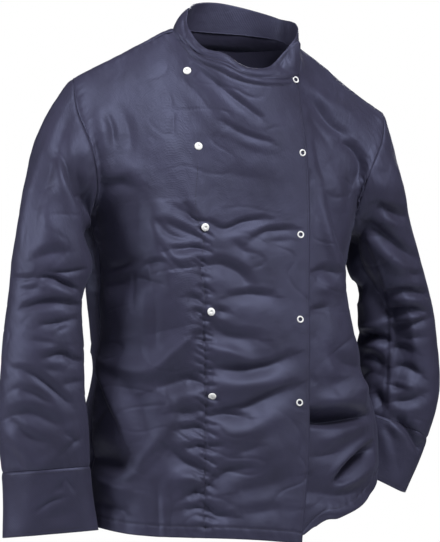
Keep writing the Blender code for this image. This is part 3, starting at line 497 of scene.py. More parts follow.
SLEEVE_LEFT_FOLDS = [
    (-3.5, 9, 0.4, [(198, -188), (224, -194)]),
    (5, 9, 0, [(230, -178), (239, -212), (248, -242)]),
    (-9, 9, 0.5, [(208, -238), (230, -245), (250, -256)]),
    (4, 8, 0, [(216, -257), (240, -268)]),
    (-9, 9, 0.5, [(197, -266), (216, -278), (238, -294), (270, -316)]),
    (6, 9, 0, [(196, -282), (211, -300), (236, -322), (252, -333)]),
    (-5, 6, 0.5, [(250, -331), (262, -335), (276, -334)]),
    (-9, 8, 0.5, [(216, -366), (252, -359), (286, -364)]),
    (5, 6, 0, [(226, -376), (250, -372), (278, -372)]),
    (-9, 6, 0.5, [(222, -390), (247, -385), (269, -386), (280, -390)]),
    (5, 5, 0, [(183, -413), (224, -406), (258, -399), (276, -394)]),
    (-6, 5, 0.4, [(234, -408), (258, -404), (284, -398)]),
    (-14, 8, 0.3, [(176, -420), (199, -424), (222, -430)]),
    (-4, 6, 0.4, [(246, -427), (272, -424)]),
    (-6, 7, 0.5, [(228, -442), (244, -439), (262, -446)]),
    (-12, 10, 0, [(188, -446), (216, -468)]),
    (-8, 8, 0, [(206, -500), (216, -524)]),
    (-6, 7, 0.5, [(233, -467), (255, -467), (271, -478)]),
    (-5.5, 6, 0.4, [(228, -492), (249, -499)]),
    (-6, 7, 0.4, [(233, -515), (258, -512), (271, -505)]),
    (4, 7, 0, [(236, -500), (262, -494)]),
    (2.2, 4, 0, [(194, -284), (210, -330), (224, -380), (226, -450), (225, -520)]),
    (-2.2, 2.6, 0, [(190, -284), (206, -330), (220, -380), (222, -450), (221, -526)]),
    (6, 14, 0, [(262, -180), (284, -340)]),
]
# the right sleeve's fullness over the side of the body, in a view from the front and a little left
SLEEVE_LAP_FOLDS = [
    (10, 15, 0, [(-212, -176), (-203, -220), (-201, -262), (-206, -308), (-214, -350)]),
    (-3, 6, 0, [(-226, -190), (-222, -240), (-224, -290)]),
]
# where the right sleeve's underside folds down over the body's side, in coordinates forward and up
SLEEVE_UNDER_FOLDS = [
    (9, 13, 0, [(-30, -272), (0, -274), (34, -270)]),
]
# the left sleeve's side towards the body, in a view from the right
SLEEVE_INNER_FOLDS = [
    (9, 20, 0, [(-50, -250), (-60, -272)]),
    (-12, 22, 0, [(-66, -330), (-66, -364)]),
    (-16, 16, 0, [(-26, -286), (-20, -350), (-20, -410), (-26, -456)]),
    (-6, 9, 0, [(-90, -330), (-60, -350), (-30, -344)]),
    (-5, 9, 0, [(-96, -400), (-64, -412), (-36, -404)]),
    (-5, 9, 0, [(-92, -470), (-60, -462), (-34, -474)]),
]
CUFF_LEFT_FOLDS = [
    (-11, 8, 0, [(232, -538), (250, -554), (266, -575), (277, -592)]),
    (4, 6, 0, [(226, -546), (248, -566), (262, -586)]),
    (-3, 6, 0, [(240, -560), (262, -586)]),
    (3, 8, 0, [(216, -556), (232, -600)]),
    (-2.5, 7, 0, [(222, -548), (240, -612)]),
]
# the back, in a view from straight behind
BACK_FOLDS = [
    (7, 30, 0.2, [(120, -110), (112, -220)]),
    (7, 30, 0.2, [(-120, -126), (-112, -230)]),
    (-7, 18, 0.2, [(190, -240), (120, -300), (60, -320)]),
    (-6, 17, 0.2, [(-186, -250), (-120, -322), (-70, -340)]),
    (-6, 16, 0.2, [(150, -360), (40, -390), (-60, -384)]),
    (-6, 15, 0.2, [(60, -440), (-50, -452), (-140, -430)]),
    (8, 24, 0.2, [(110, -500), (96, -600), (112, -690)]),
    (-8, 22, 0.2, [(58, -520), (40, -620), (50, -700)]),
    (8, 24, 0.2, [(-10, -540), (-20, -620), (-14, -700)]),
    (-8, 22, 0.2, [(-80, -520), (-74, -620), (-90, -690)]),
    (8, 22, 0.2, [(-140, -520), (-136, -600), (-146, -670)]),
    (12, 28, 0, [(196, -440), (200, -500), (200, -570)]),
]
SLEEVE_REAR_FOLDS = [
    (-7, 12, 0.2, [(300, -390), (250, -372)]),
    (-7, 12, 0.2, [(292, -430), (250, -452)]),
    (-6, 11, 0.2, [(300, -520), (262, -500)]),
    (-7, 12, 0.2, [(-276, -330), (-230, -350)]),
    (-8, 12, 0.2, [(-300, -430), (-250, -420)]),
    (-7, 11, 0.2, [(-302, -462), (-262, -480)]),
]


# ------------------------------------------------------------------ curves and fields
def curve(t, start, end, leave, arrive):
    """A smooth way from start to end, with the slopes it has at both."""
    first = (2 * t**3 - 3 * t**2 + 1) * start + (t**3 - 2 * t**2 + t) * leave
    last = (3 * t**2 - 2 * t**3) * end + (t**3 - t**2) * arrive
    return first + last


def spline(knots, values, at):
    """A smooth curve through the values, with its slope at each knot taken from the neighbours."""
    knots = np.asarray(knots, float)
    values = np.asarray(values, float)
    at = np.clip(np.asarray(at, float), knots[0], knots[-1])
    slopes = np.gradient(values, knots, axis=0)
    span = np.clip(np.searchsorted(knots, at, side="right") - 1, 0, len(knots) - 2)
    width = knots[span + 1] - knots[span]
    t = (at - knots[span]) / width
    if values.ndim > 1:
        t = t[..., None]
        width = width[..., None]
    return curve(t, values[span], values[span + 1], width * slopes[span], width * slopes[span + 1])


def run_of(points):
    """How far along a line of points each of them lies."""
    return np.concatenate([[0.0], np.cumsum(np.linalg.norm(np.diff(points, axis=0), axis=1))])


def along(points, count):
    """Evenly spaced points on the smooth curve through a short list of points."""
    knots = run_of(points)
    return spline(knots, points, np.linspace(0.0, knots[-1], count))


def at_run(at, knots, points):
    """The point on straight pieces between points, at a distance along them."""
    return np.array([np.interp(at, knots, column) for column in points.T])


def unit(vectors):
    return vectors / np.maximum(np.linalg.norm(vectors, axis=-1, keepdims=True), 1e-9)


def eased(share):
    """From 0 to 1 with a soft start and end."""
    return share * share * (3 - 2 * share)


def bell(away, middle, reach):
    """1 at the middle, falling to 0 on both sides."""
    return np.exp(-(((away - middle) / reach) ** 2))


def squarer(value, roundness):
    """A sine or cosine for a section squarer than an ellipse."""
    return np.sign(value) * np.abs(value) ** roundness


def softened(values, passes):
    """Each row of values drawn towards its neighbours, with the two ends kept."""
    values = values.copy()
    for _ in range(passes):
        values[1:-1] = (values[:-2] + 2 * values[1:-1] + values[2:]) / 4
    return values


def joined(*parts):
    """Rows whose ends coincide, as one."""
    return np.concatenate([parts[0]] + [part[1:] for part in parts[1:]])


def from_view(across, up, towards):
    return across * ACROSS + up * UP + towards * TOWARDS


def armhole(loop, angles):
    """Points of an armhole; 0 is the shoulder tip, 90 the front, 180 the underarm, 270 the back."""
    wrapped = np.vstack([loop[-3:], loop, loop[:3]])
    knots = ARMHOLE_STEP * np.arange(-3, len(loop) + 3)
    return spline(knots, wrapped, angles)


def body_point(degrees, z):
    """A point of the body at a height; 0 is the middle of the front and 90 the left side."""
    right, left, front, back = (spline(BODY[:, 0], BODY[:, column], z) for column in range(1, 5))
    sine, cosine = np.sin(np.radians(degrees)), np.cos(np.radians(degrees))
    x = np.where(sine < 0, right, left) * squarer(sine, ROUNDNESS)
    y = BODY_MIDDLE_Y - np.where(cosine > 0, front, back) * squarer(cosine, ROUNDNESS)
    return np.stack([x, y, z], axis=-1)


def degrees_at(x, z):
    """The angle on the front of the body that lies a given distance from the middle."""
    right, left = (spline(BODY[:, 0], BODY[:, column], z) for column in (1, 2))
    share = np.clip(np.abs(x) / np.where(x < 0, right, left), 0.0, 1.0)
    return np.degrees(np.sign(x) * np.arcsin(share ** (1 / ROUNDNESS)))


def normals(grid, closed=False, side=1):
    """Unit normals of a grid of points, rows by columns."""
    down = np.gradient(grid, axis=0)
    if closed:
        across = (np.roll(grid, -1, axis=1) - np.roll(grid, 1, axis=1)) / 2
    else:
        across = np.gradient(grid, axis=1)
    return unit(np.cross(across, down)) * side


def fold_depths(grid, facing, folds, view):
    """How far each point moves outwards for a table of folds drawn in a view."""
    across, up, towards = view
    flat = np.stack([grid @ across, grid @ up], axis=-1)
    seen = np.clip((facing @ towards - FACING_START) / FACING_SPAN, 0.0, 1.0)
    total = np.zeros(grid.shape[:2])
    for depth, half_width, lean, path in folds:
        line = along(np.array(path, float), max(FOLD_POINTS, POINTS_PER_KNOT * len(path)))
        reach = FOLD_REACH * half_width
        low, high = line.min(axis=0) - reach, line.max(axis=0) + reach
        near = ((flat > low) & (flat < high)).all(-1) & (seen > 0)
        spots = flat[near]
        step = np.diff(line, axis=0)
        offset = spots[:, None, :] - line[:-1]
        share = np.clip((offset * step).sum(-1) / (step**2).sum(-1), 0.0, 1.0)
        away = offset - share[..., None] * step
        gap = np.linalg.norm(away, axis=-1)
        nearest = gap.argmin(-1)
        pick = np.arange(len(spots))
        forward, away = step[nearest], away[pick, nearest]
        left_side = np.sign(forward[:, 0] * away[:, 1] - forward[:, 1] * away[:, 0])
        ratio = gap[pick, nearest] / (half_width * (1 - LEAN_SHARE * lean * left_side))
        run = (nearest + share[pick, nearest]) / len(step)
        taper = TAPER_FLOOR + (1 - TAPER_FLOOR) * np.sin(math.pi * run) ** TAPER_POWER
        if depth < 0:
            crease = np.exp(-CREASE_SLOPE * (np.sqrt(ratio**2 + CREASE_ROUND) - math.sqrt(CREASE_ROUND)))
            shape = crease - CREASE_LIP * np.exp(-LIP_SPREAD * (ratio - LIP_PLACE) ** 2)
        else:
            shape = (1 - RIDGE_FOOT * ratio**2) * np.exp(-(ratio**2) * RIDGE_SHARPNESS)
        total[near] += FOLD_DEPTH * depth * taper * shape
    return total * seen


def all_folds(grid, facing, *drawings):
    """The sum of several tables of folds, each with the view it is drawn in."""
    return sum(fold_depths(grid, facing, folds, view) for folds, view in drawings)


def puckers(path, pitch, seed):
    """Short creases across a stitched line, at uneven steps."""
    line = np.array(path, float)
    knots = run_of(line)
    chance = np.random.default_rng(seed)
    rows = []
    at = 0.0
    while at < knots[-1]:
        x, y = at_run(at, knots, line)
        left, right = chance.uniform(*PUCKER_LENGTH, 2)
        rise, fall = chance.uniform(*PUCKER_SLOPE, 2)
        crossing = [(x - left, y + rise * left), (x, y), (x + right, y - fall * right)]
        rows.append((-chance.uniform(*PUCKER_DEPTH), chance.uniform(*PUCKER_WIDTH), PUCKER_LEAN, crossing))
        at += pitch * chance.uniform(*PUCKER_STEP)
    return rows


# ------------------------------------------------------------------ sheets
def body_sheet(degrees, top, top_lean, left_edge, right_edge):
    """A front or back: the body up to the underarm, and above it the cloth that is drawn between
    that level, the shoulders and the two armholes."""
    share = np.linspace(0.0, 1.0, HEM_ROWS)[:, None]
    hem = spline(HEM[:, 0], HEM[:, 1], (degrees[0] + 180) % 360 - 180)
    underarm = UNDERARM_Z - UNDERARM_SLANT * np.sin(np.radians(degrees[-1]))
    lower = body_point(degrees, hem + (underarm - hem) * share)

    bottom = lower[-1]
    v = np.linspace(0.0, 1.0, len(left_edge))[:, None, None]
    reach = np.linalg.norm(top - bottom, axis=-1, keepdims=True)
    rise = unit(bottom - lower[-2]) * RISE_PULL * reach
    lean = unit(softened(top_lean, LEAN_PASSES)) * RISE_PULL * reach
    sheet = curve(v, bottom, top, rise, lean)
    u = np.linspace(0.0, 1.0, bottom.shape[0])
    for edge, column, distance in ((left_edge, 0, u), (right_edge, -1, 1 - u)):
        pull = np.clip(1 - distance / ARMHOLE_REACH, 0.0, 1.0) ** 2
        sheet = sheet + pull[None, :, None] * (edge - sheet[:, column])[:, None, :]
    for _ in range(CHEST_PASSES):
        around = sheet[:-2, 1:-1] + sheet[2:, 1:-1] + sheet[1:-1, :-2] + sheet[1:-1, 2:]
        sheet[1:-1, 1:-1] = (sheet[1:-1, 1:-1] + around / 4) / 2
    return joined(lower, sheet)


def front_sheet():
    """Both fronts as one grid, from the right side seam to the left one."""
    heights = np.linspace(LAP_EDGES[0, 0], UNDERARM_Z, HEM_ROWS)
    near, free = (degrees_at(spline(LAP_EDGES[:, 0], LAP_EDGES[:, k], heights), heights) for k in (1, 2))
    degrees = np.array([
        joined(
            np.linspace(-90, a, SIDE_COLUMNS + 1),
            np.linspace(a, b, LAP_COLUMNS + 1),
            np.linspace(b, 90, FAR_COLUMNS + 1),
        )
        for a, b in zip(near, free)
    ])
    top = joined(
        along(RIGHT_SHOULDER, SIDE_COLUMNS + 1),
        along(LAP_NECKLINE, LAP_COLUMNS + 1),
        along(FAR_NECKLINE, FAR_NECK_COLUMNS + 1),
        along(LEFT_SHOULDER[::-1], FAR_COLUMNS - FAR_NECK_COLUMNS + 1),
    )
    lean = np.tile(SHOULDER_LEAN, (len(top), 1))
    lean[SIDE_COLUMNS + 1:SIDE_COLUMNS + LAP_COLUMNS + FAR_NECK_COLUMNS] = NECK_LEAN
    turn = np.linspace(180, 0, CHEST_ROWS + 1)
    return body_sheet(degrees, top, lean, armhole(RIGHT_ARMHOLE, turn), armhole(LEFT_ARMHOLE, turn))


def back_sheet():
    """The back as one grid, from the left side seam round to the right one."""
    degrees = np.tile(np.linspace(90, 270, BACK_COLUMNS + 1), (HEM_ROWS, 1))
    top = joined(
        along(LEFT_SHOULDER, SHOULDER_COLUMNS + 1),
        along(BACK_NECKLINE, BACK_COLUMNS - 2 * SHOULDER_COLUMNS + 1),
        along(RIGHT_SHOULDER[::-1], SHOULDER_COLUMNS + 1),
    )
    lean = np.tile(BACK_SHOULDER_LEAN, (len(top), 1))
    turn = np.linspace(180, 360, CHEST_ROWS + 1)
    return body_sheet(degrees, top, lean, armhole(LEFT_ARMHOLE, turn), armhole(RIGHT_ARMHOLE, turn))


def tube(table, side, angles):
    """Sections along an arm and its cuff; side is 1 for the left arm and -1 for the right."""
    seam = len(table) - CUFF_TABLE_ROWS
    steps = joined(np.linspace(0, seam, ARM_ROWS + 1), np.linspace(seam, len(table) - 1, CUFF_ROWS + 1))
    places = spline(np.arange(len(table)), table, steps)
    centres = np.array([from_view(*row[:3]) for row in places])
    axes = unit(np.gradient(centres, axis=0))
    cosine = squarer(np.cos(angles), ARM_ROUNDNESS)[:, None]
    sine = squarer(np.sin(angles), ARM_ROUNDNESS)[:, None]
    rings = []
    for centre, axis, row in zip(centres, axes, places):
        outwards = unit(side * np.cross(axis, -TOWARDS))
        towards = unit(side * np.cross(axis, outwards))
        rings.append(centre + row[3] * cosine * outwards + row[4] * sine * towards)
    return np.array(rings), axes


def sleeve_sheet(loop, arm, side, steepness):
    """A sleeve from its armhole to the cuff, and the cuff, as rings of points."""
    turn = np.linspace(0, 360, SLEEVE_COLUMNS, endpoint=False)
    angles = np.radians(turn)
    rings, axes = tube(arm, side, angles)
    cuff = rings[ARM_ROWS:].copy()
    rings[ARM_ROWS] -= SLEEVE_GAP * axes[ARM_ROWS]
    drop = steepness * ((1 + np.cos(angles)) / 2) ** 2
    turn_in = -SLEEVE_TURN_IN * np.sin(angles)
    leave = unit(np.stack([side * np.ones_like(angles), turn_in, -drop], axis=-1))
    gap = SLEEVE_GAP + (UNDERARM_SEAM_GAP - SLEEVE_GAP) * np.clip(-np.cos(angles), 0, 1)
    start = armhole(loop, turn) + gap[:, None] * leave
    reach = np.linalg.norm(rings[0] - start, axis=-1, keepdims=True)
    t = np.linspace(0.0, 1.0, HEAD_ROWS + 1)[:-1, None, None]
    head = curve(t, start, rings[0], reach * leave * SLEEVE_LEAVE_PULL, reach * axes[0])
    return np.vstack([head, rings[:ARM_ROWS + 1]]), cuff


def collar_sheet():
    """The collar band, from the end beneath round the neck to the end on the overlap."""
    knots = run_of(COLLAR[:, :3])
    places = spline(knots, COLLAR, np.linspace(0.0, knots[-1], COLLAR_COLUMNS + 1))
    run = unit(np.gradient(places[:, :3], axis=0) * (X + Y))
    outwards = np.cross(run, Z)
    tucked = places[:, 5:6]
    inset = np.clip(2 * tucked, 0, 1)
    sink = np.clip(2 * tucked - 1, 0, 1)
    foot = places[:, :3] - COLLAR_TUCK * inset * outwards
    foot[:, 2:] += COLLAR_SEAT - (COLLAR_SEAT + TUCK_DEPTH) * sink
    lean = np.radians(places[:, 4])[:, None]
    rows = []
    for share in np.linspace(0.0, 1.0, COLLAR_ROWS + 1):
        bend = lean * (FOOT_BEND + (1 - FOOT_BEND) * share)
        rows.append(foot + places[:, 3:4] * share * (outwards * np.sin(bend) + Z * np.cos(bend)))
    return np.array(rows), outwards, inset


# ------------------------------------------------------------------ fine cloth
def fine_places(spans, steps):
    """Places along a sheet's rows or columns, with a number of steps for each span."""
    steps = np.broadcast_to(steps, (spans,))
    return np.concatenate([k + np.arange(count) / count for k, count in enumerate(steps)] + [[spans]])


def refined(grid, row_steps, column_steps, closed=False):
    """The same sheet with more rows and columns, smooth between the given ones."""
    rows, columns = grid.shape[:2]
    fine_rows = fine_places(rows - 1, row_steps)
    grid = spline(np.arange(rows), grid.reshape(rows, -1), fine_rows).reshape(-1, columns, 3)
    turned = grid.transpose(1, 0, 2)
    if closed:
        turned = np.concatenate([turned[-3:], turned, turned[:3]])
        fine_columns = 3 + np.arange(columns * column_steps) / column_steps
    else:
        fine_columns = fine_places(columns - 1, column_steps)
    fine = spline(np.arange(len(turned)), turned.reshape(len(turned), -1), fine_columns)
    return fine.reshape(len(fine_columns), -1, 3).transpose(1, 0, 2)


def run_along(grid, axis, from_end=False):
    """Distance of each point from an edge of its sheet, measured along the sheet."""
    steps = np.linalg.norm(np.diff(grid, axis=axis), axis=-1)
    zero = np.zeros_like(np.take(steps, [0], axis=axis))
    run = np.concatenate([zero, np.cumsum(steps, axis=axis)], axis=axis)
    return np.take(run, [-1], axis=axis) - run if from_end else run


def swells(points, size, seed):
    """Smooth uneven heights, about -1 to 1: waves in many directions."""
    chance = np.random.default_rng(seed)
    scaled = points / np.asarray(size, float)
    total = np.zeros(points.shape[:-1])
    for _ in range(SWELL_WAVES):
        heading = unit(chance.normal(size=3)) * chance.uniform(*SWELL_RATES)
        total += np.sin(scaled @ heading + chance.uniform(0, math.tau))
    return total / math.sqrt(SWELL_WAVES) * SWELL_HEIGHT


def wave(run, pitch, seed):
    """An uneven ripple along a seam."""
    phases = np.random.default_rng(seed).uniform(0, math.tau, len(RIPPLE_SHARES))
    return sum(
        np.sin(math.tau * run / (pitch * share) + phase) / 2 for share, phase in zip(RIPPLE_SHARES, phases)
    )


def rumpled(points):
    """Small irregularities of worn twill."""
    total = sum(height * swells(points, size, seed) for height, size, seed in RUMPLES)
    crease = np.clip(1 - CRINKLE_SHARPNESS * np.abs(swells(points, *CRINKLES)), 0, 1) ** 2
    return total - crease * np.clip(swells(points, *CRINKLE_PATCHES) * 2, 0, 1)


def armhole_fade(grid, *edges):
    """From 0 at an armhole to 1 a little way from it, and 1 below the underarm."""
    below = sum(ROW_STEPS[:HEM_ROWS - 1])
    rising = np.clip((np.arange(len(grid)) - below) / FADE_ROWS + 1, 0, 1)[:, None]
    fade = np.ones(grid.shape[:2])
    for edge in edges:
        share = np.clip(run_along(grid, *EDGES[edge]) / ARMHOLE_FADE, 0, 1)
        fade *= 1 - rising * (1 - eased(share))
    return fade


def set_back(grid, seams):
    """Draws the seam edges in by the wall's thickness, so that two walls meet at the seam."""
    grid = grid.copy()
    for name in seams:
        axis, from_end = EDGES[name]
        lines = grid.swapaxes(0, axis)
        edge, beside = (-1, -2) if from_end else (0, 1)
        lines[edge] += (WALL + SEAM_SET_BACK) * unit(lines[beside] - lines[edge])
    return grid


def flanged(grid, facing, seams):
    """Adds the turned-in edges that lie behind the seams."""
    for name in sorted(seams, key=FLANGE_ORDER.index):
        axis, from_end = EDGES[name]
        last = [-1 if from_end else 0]
        edge, normal = np.take(grid, last, axis), np.take(facing, last, axis)
        more = [edge - depth * normal for depth in FLANGE]
        turned = [normal] * len(FLANGE)
        grid = np.concatenate([grid] + more[::-1] if from_end else more + [grid], axis)
        facing = np.concatenate([facing] + turned if from_end else turned + [facing], axis)
    return grid


def seam_dips(grid, seams):
    """How deep the cloth rolls in beside its seams, and the ripples there."""
    height, pitch, reach = SEAM_PUCKER
    total = np.zeros(grid.shape[:2])
    for name in seams:
        axis, from_end = EDGES[name]
        away = run_along(grid, axis, from_end)
        ripple = height * wave(run_along(grid, 1 - axis), pitch, len(name))
        total += ripple * bell(away, reach, reach) - SEAM_DIP * bell(away, 0, SEAM_REACH)
    return total


def hem_dips(grid):
    """How deep the cloth is drawn in along the hem's stitches, and the ripples there."""
    height, pitch, reach = HEM_PUCKER
    away = run_along(grid, 0)
    ripple = height * wave(run_along(grid, 1), pitch, HEM_SEED)
    return ripple * bell(away, HEM_TURN, reach) - HEM_DIP * bell(away, HEM_TURN, HEM_LINE_REACH)


def moved(grid, facing, depth):
    return grid + depth[..., None] * facing


# ------------------------------------------------------------------ finishes
TWILL_DARK = (0.0240, 0.0222, 0.0385, 1.0)
TWILL_LIGHT = (0.0390, 0.0372, 0.0690, 1.0)
TWILL_SPECULAR = (0.52, 0.59, 0.95, 1.0)
TWILL_SHEEN = (0.62, 0.68, 1.0, 1.0)
TWILL_TURN = math.radians(45)
TWILL_SCALE = 125  # of the wave texture, whose ribs then lie 2.5 mm apart
THREAD = (0.020, 0.022, 0.042, 1.0)
PLASTIC_DARK = (0.80, 0.81, 0.82, 1.0)
PLASTIC_LIGHT = (0.92, 0.92, 0.92, 1.0)


def fill(tree, made, inputs):
    """Sets the inputs of a node to constants, or joins them to outputs of other nodes."""
    for place, value in inputs.items():
        if isinstance(value, bpy.types.NodeSocket):
            tree.links.new(value, made.inputs[place])
        else:
            made.inputs[place].default_value = value


def add(tree, kind, inputs):
    made = tree.nodes.new("ShaderNode" + kind)
    fill(tree, made, inputs)
    return made


def noise(tree, inputs):
    return add(tree, "TexNoise", inputs).outputs["Fac"]


def ramp(tree, factor, stops):
    """A colour between two, each with its place on the scale from 0 to 1."""
    made = add(tree, "ValToRGB", {"Fac": factor})
    for element, (position, colour) in zip(made.color_ramp.elements, stops):
        element.position = position
        element.color = colour
    return made.outputs["Color"]


def principled(name, roughness):
    made = bpy.data.materials.new(name)
    made.use_nodes = True
    tree = made.node_tree
    shader = tree.nodes["Principled BSDF"]
    shader.inputs["Roughness"].default_value = roughness
    return made, tree, shader


def twill_finish():
    """Navy satin-faced twill: slanted ribs, slight unevenness of colour and a soft sheen."""
    made, tree, shader = principled("navy_twill", 0.5)
    place = tree.nodes.new("ShaderNodeUVMap")
    place.uv_map = "cloth"
    place = place.outputs["UV"]
    slant = add(tree, "Mapping", {"Vector": place, "Rotation": (0, 0, TWILL_TURN)})
    ribs = add(tree, "TexWave", {
        "Vector": slant.outputs["Vector"], "Scale": TWILL_SCALE, "Distortion": 0.6, "Detail": 1.0,
    })
    ribs.wave_type = "BANDS"
    ribs.bands_direction = "X"
    threads = noise(tree, {"Vector": place, "Scale": 900, "Detail": 3})
    patches = noise(tree, {"Vector": place, "Scale": 16, "Detail": 5, "Roughness": 0.6})
    dents = noise(tree, {"Vector": place, "Scale": 38, "Detail": 6, "Roughness": 0.66})
    fibre = add(tree, "Math", {0: threads, 1: 0.35, 2: patches})
    fibre.operation = "MULTIPLY_ADD"
    colour = ramp(tree, fibre.outputs[0], ((0.35, TWILL_DARK), (0.95, TWILL_LIGHT)))
    surface = {}
    for height, strength, distance in (
        (dents, 0.6, 0.0017),
        (ribs.outputs["Fac"], 0.35, 0.0002),
        (threads, 0.2, 0.0003),
    ):
        bump = add(tree, "Bump", {"Height": height, "Strength": strength, "Distance": distance, **surface})
        surface = {"Normal": bump.outputs["Normal"]}
    fill(tree, shader, {
        "Base Color": colour,
        "IOR": 1.36,
        "Specular IOR Level": 0.75,
        "Specular Tint": TWILL_SPECULAR,
        "Sheen Weight": 0.05,
        "Sheen Roughness": 0.45,
        "Sheen Tint": TWILL_SHEEN,
        **surface,
    })
    return made


def thread_finish():
    made, tree, shader = principled("thread", 0.6)
    spots = noise(tree, {"Scale": 300})
    fill(tree, shader, {"Base Color": ramp(tree, spots, ((0.0, THREAD), (1.0, TWILL_DARK)))})
    return made


def plastic_finish():
    made, tree, shader = principled("white_plastic", 0.3)
    spots = noise(tree, {"Scale": 180, "Detail": 4})
    rough = add(tree, "MapRange", {"Value": spots, "To Min": 0.24, "To Max": 0.42}).outputs["Result"]
    colour = ramp(tree, spots, ((0.0, PLASTIC_DARK), (1.0, PLASTIC_LIGHT)))
    fill(tree, shader, {"Base Color": colour, "Roughness": rough})
    return made


twill = twill_finish()
thread = thread_finish()
plastic = plastic_finish()


# ------------------------------------------------------------------ meshes
pieces = {}


def linked(name, data):
    made = bpy.data.objects.new(name, data)
    bpy.context.scene.collection.objects.link(made)
    return made


def smooth_mesh(name, vertices, faces, finish, coordinates=None):
    mesh = bpy.data.meshes.new(name)
    mesh.from_pydata(vertices, [], faces)
    if coordinates is not None:
        layer = mesh.uv_layers.new(name="cloth")
        order = np.array(faces).reshape(-1)
        layer.data.foreach_set("uv", coordinates[order].reshape(-1))
    mesh.polygons.foreach_set("use_smooth", np.ones(len(mesh.polygons), bool))
    mesh.update()
    mesh.materials.append(finish)
    return linked(name, mesh)


def cloth(node, grid, wall, closed=False, side=1):
    """A sheet of fine cloth that stands for one node."""
    rows, columns = grid.shape[:2]
    r, c = np.meshgrid(np.arange(rows - 1), np.arange(columns if closed else columns - 1), indexing="ij")
    near, after = r * columns + c, r * columns + (c + 1) % columns
    quads = np.stack([near, after, after + columns, near + columns], axis=-1).reshape(-1, 4)
    if side < 0:
        quads = quads[:, ::-1]
    coordinates = np.stack([run_along(grid, 1) * MM, run_along(grid, 0) * MM], axis=-1).reshape(-1, 2)
    vertices = (grid.reshape(-1, 3) * MM).tolist()
    made = smooth_mesh("cloth_" + node, vertices, quads.tolist(), twill, coordinates)
    shell = made.modifiers.new("wall", "SOLIDIFY")
    shell.thickness = wall * MM
    shell.offset = 1.0
    shell.use_quality_normals = True
    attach(made, "root")
    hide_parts(node)
    pieces[node] = made


def tree_of(made):
    return BVHTree.FromObject(made, bpy.context.evaluated_depsgraph_get())


# ------------------------------------------------------------------ stitches
STITCH_LENGTH = 2.7
STITCH_PITCH = 3.7
STITCH_RADIUS = 0.24
STITCH_LIFT = 0.02
STITCH_SHAPE = ((0.0, -0.15), (0.25, 0.2), (0.75, 0.2), (1.0, -0.15))  # share of length, lift
STITCH_SIDES = 5
RAY_START = 1000.0


def level_line(grid, facing, edge, inset):
    """Points and normals along a sheet at one distance from its edge."""
    axis, from_end = EDGES[edge]
    away = run_along(grid, axis, from_end)
    away, grid, facing = (field.swapaxes(0, 1 - axis) for field in (away, grid, facing))
    if from_end:
        away, grid, facing = (field[:, ::-1] for field in (away, grid, facing))
    spot = (away < inset).sum(axis=1)
    line = np.arange(len(grid))
    low = away[line, spot - 1]
    part = ((inset - low) / (away[line, spot] - low))[:, None]
    points = grid[line, spot - 1] * (1 - part) + grid[line, spot] * part
    return points, unit(facing[line, spot])


def drawn_line(tree, path, wall):
    """Points and normals of the cloth beneath a line drawn in the three-quarter view."""
    points = []
    facing = []
    for across, up in along(np.array(path, float), POINTS_PER_KNOT * len(path)):
        start = Vector(from_view(across, up, RAY_START) * MM)
        hit, normal, _, _ = tree.ray_cast(start, Vector(-TOWARDS))
        if hit is not None:
            facing.append(np.array(normal))
            points.append(np.array(hit) / MM - wall * facing[-1])
    return np.array(points), np.array(facing)


def stitch(start, end, normal, base):
    """Vertices and faces of one stitch; base is the number of its first vertex."""
    beside = unit(np.cross(normal, unit(end - start)))
    vertices = []
    for share, height in STITCH_SHAPE:
        middle = start + (end - start) * share + normal * height
        for angle in np.linspace(0, math.tau, STITCH_SIDES, endpoint=False):
            vertices.append(middle + STITCH_RADIUS * (math.cos(angle) * beside + math.sin(angle) * normal))
    last = base + len(vertices) - STITCH_SIDES
    faces = []
    for a in range(base, last, STITCH_SIDES):
        for k in range(STITCH_SIDES):
            after = (k + 1) % STITCH_SIDES
            faces.append((a + k, a + after, a + STITCH_SIDES + after, a + STITCH_SIDES + k))
    faces.append(tuple(base + k for k in reversed(range(STITCH_SIDES))))
    faces.append(tuple(last + k for k in range(STITCH_SIDES)))
    return vertices, faces


def stitches(node, wall, lines):
    """All the stitches that show on one sheet, as one piece."""
    vertices = []
    faces = []
    for points, facing in lines:
        knots = run_of(points)
        for at in np.arange(STITCH_PITCH, knots[-1] - STITCH_PITCH, STITCH_PITCH):
            normal = unit(at_run(at, knots, facing))
            start, end = (at_run(place, knots, points) for place in (at, at + STITCH_LENGTH))
            lift = normal * (wall + STITCH_LIFT)
            more, quads = stitch(start + lift, end + lift, normal, len(vertices))
            vertices.extend(more)
            faces.extend(quads)
    made = smooth_mesh("stitches_" + node, [tuple(v * MM) for v in vertices], faces, thread)
    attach(made, "root")


# ------------------------------------------------------------------ fronts and back
front = refined(front_sheet(), ROW_STEPS, FRONT_STEPS)
facing = normals(front)
lap_start = sum(FRONT_STEPS[:SIDE_COLUMNS])
lap_end = lap_start + sum(FRONT_STEPS[SIDE_COLUMNS:SIDE_COLUMNS + LAP_COLUMNS])
rear = fold_depths(front, facing, BACK_FOLDS, REAR_VIEW)
right_folds = FRONT_RIGHT_FOLDS + puckers(FACING_LINE[1:-1], PUCKER_PITCH, FACING_SEED)
right_depth = fold_depths(front, facing, right_folds, FRONT_VIEW) + rear + rumpled(front)
right_depth *= armhole_fade(front, "left")
left_folds = FRONT_LEFT_FOLDS + puckers(EDGE_LINE, EDGE_PITCH, EDGE_SEED)
left_depth = all_folds(front, facing, (left_folds, FRONT_VIEW), (HIP_FOLDS, LEFT_VIEW)) + rear
left_depth += rumpled(front + LEFT_OFFSET * (front[..., :1] < LEFT_OFFSET_X))
left_depth *= armhole_fade(front, "right")
beyond = (np.arange(front.shape[1]) - lap_end) / (UNDERLAP_FADE * FRONT_STEPS[-1])
under = eased(np.clip(1 - beyond, 0.0, 1.0))
above = under * right_depth + (1 - under) * left_depth - UNDER_GAP * under
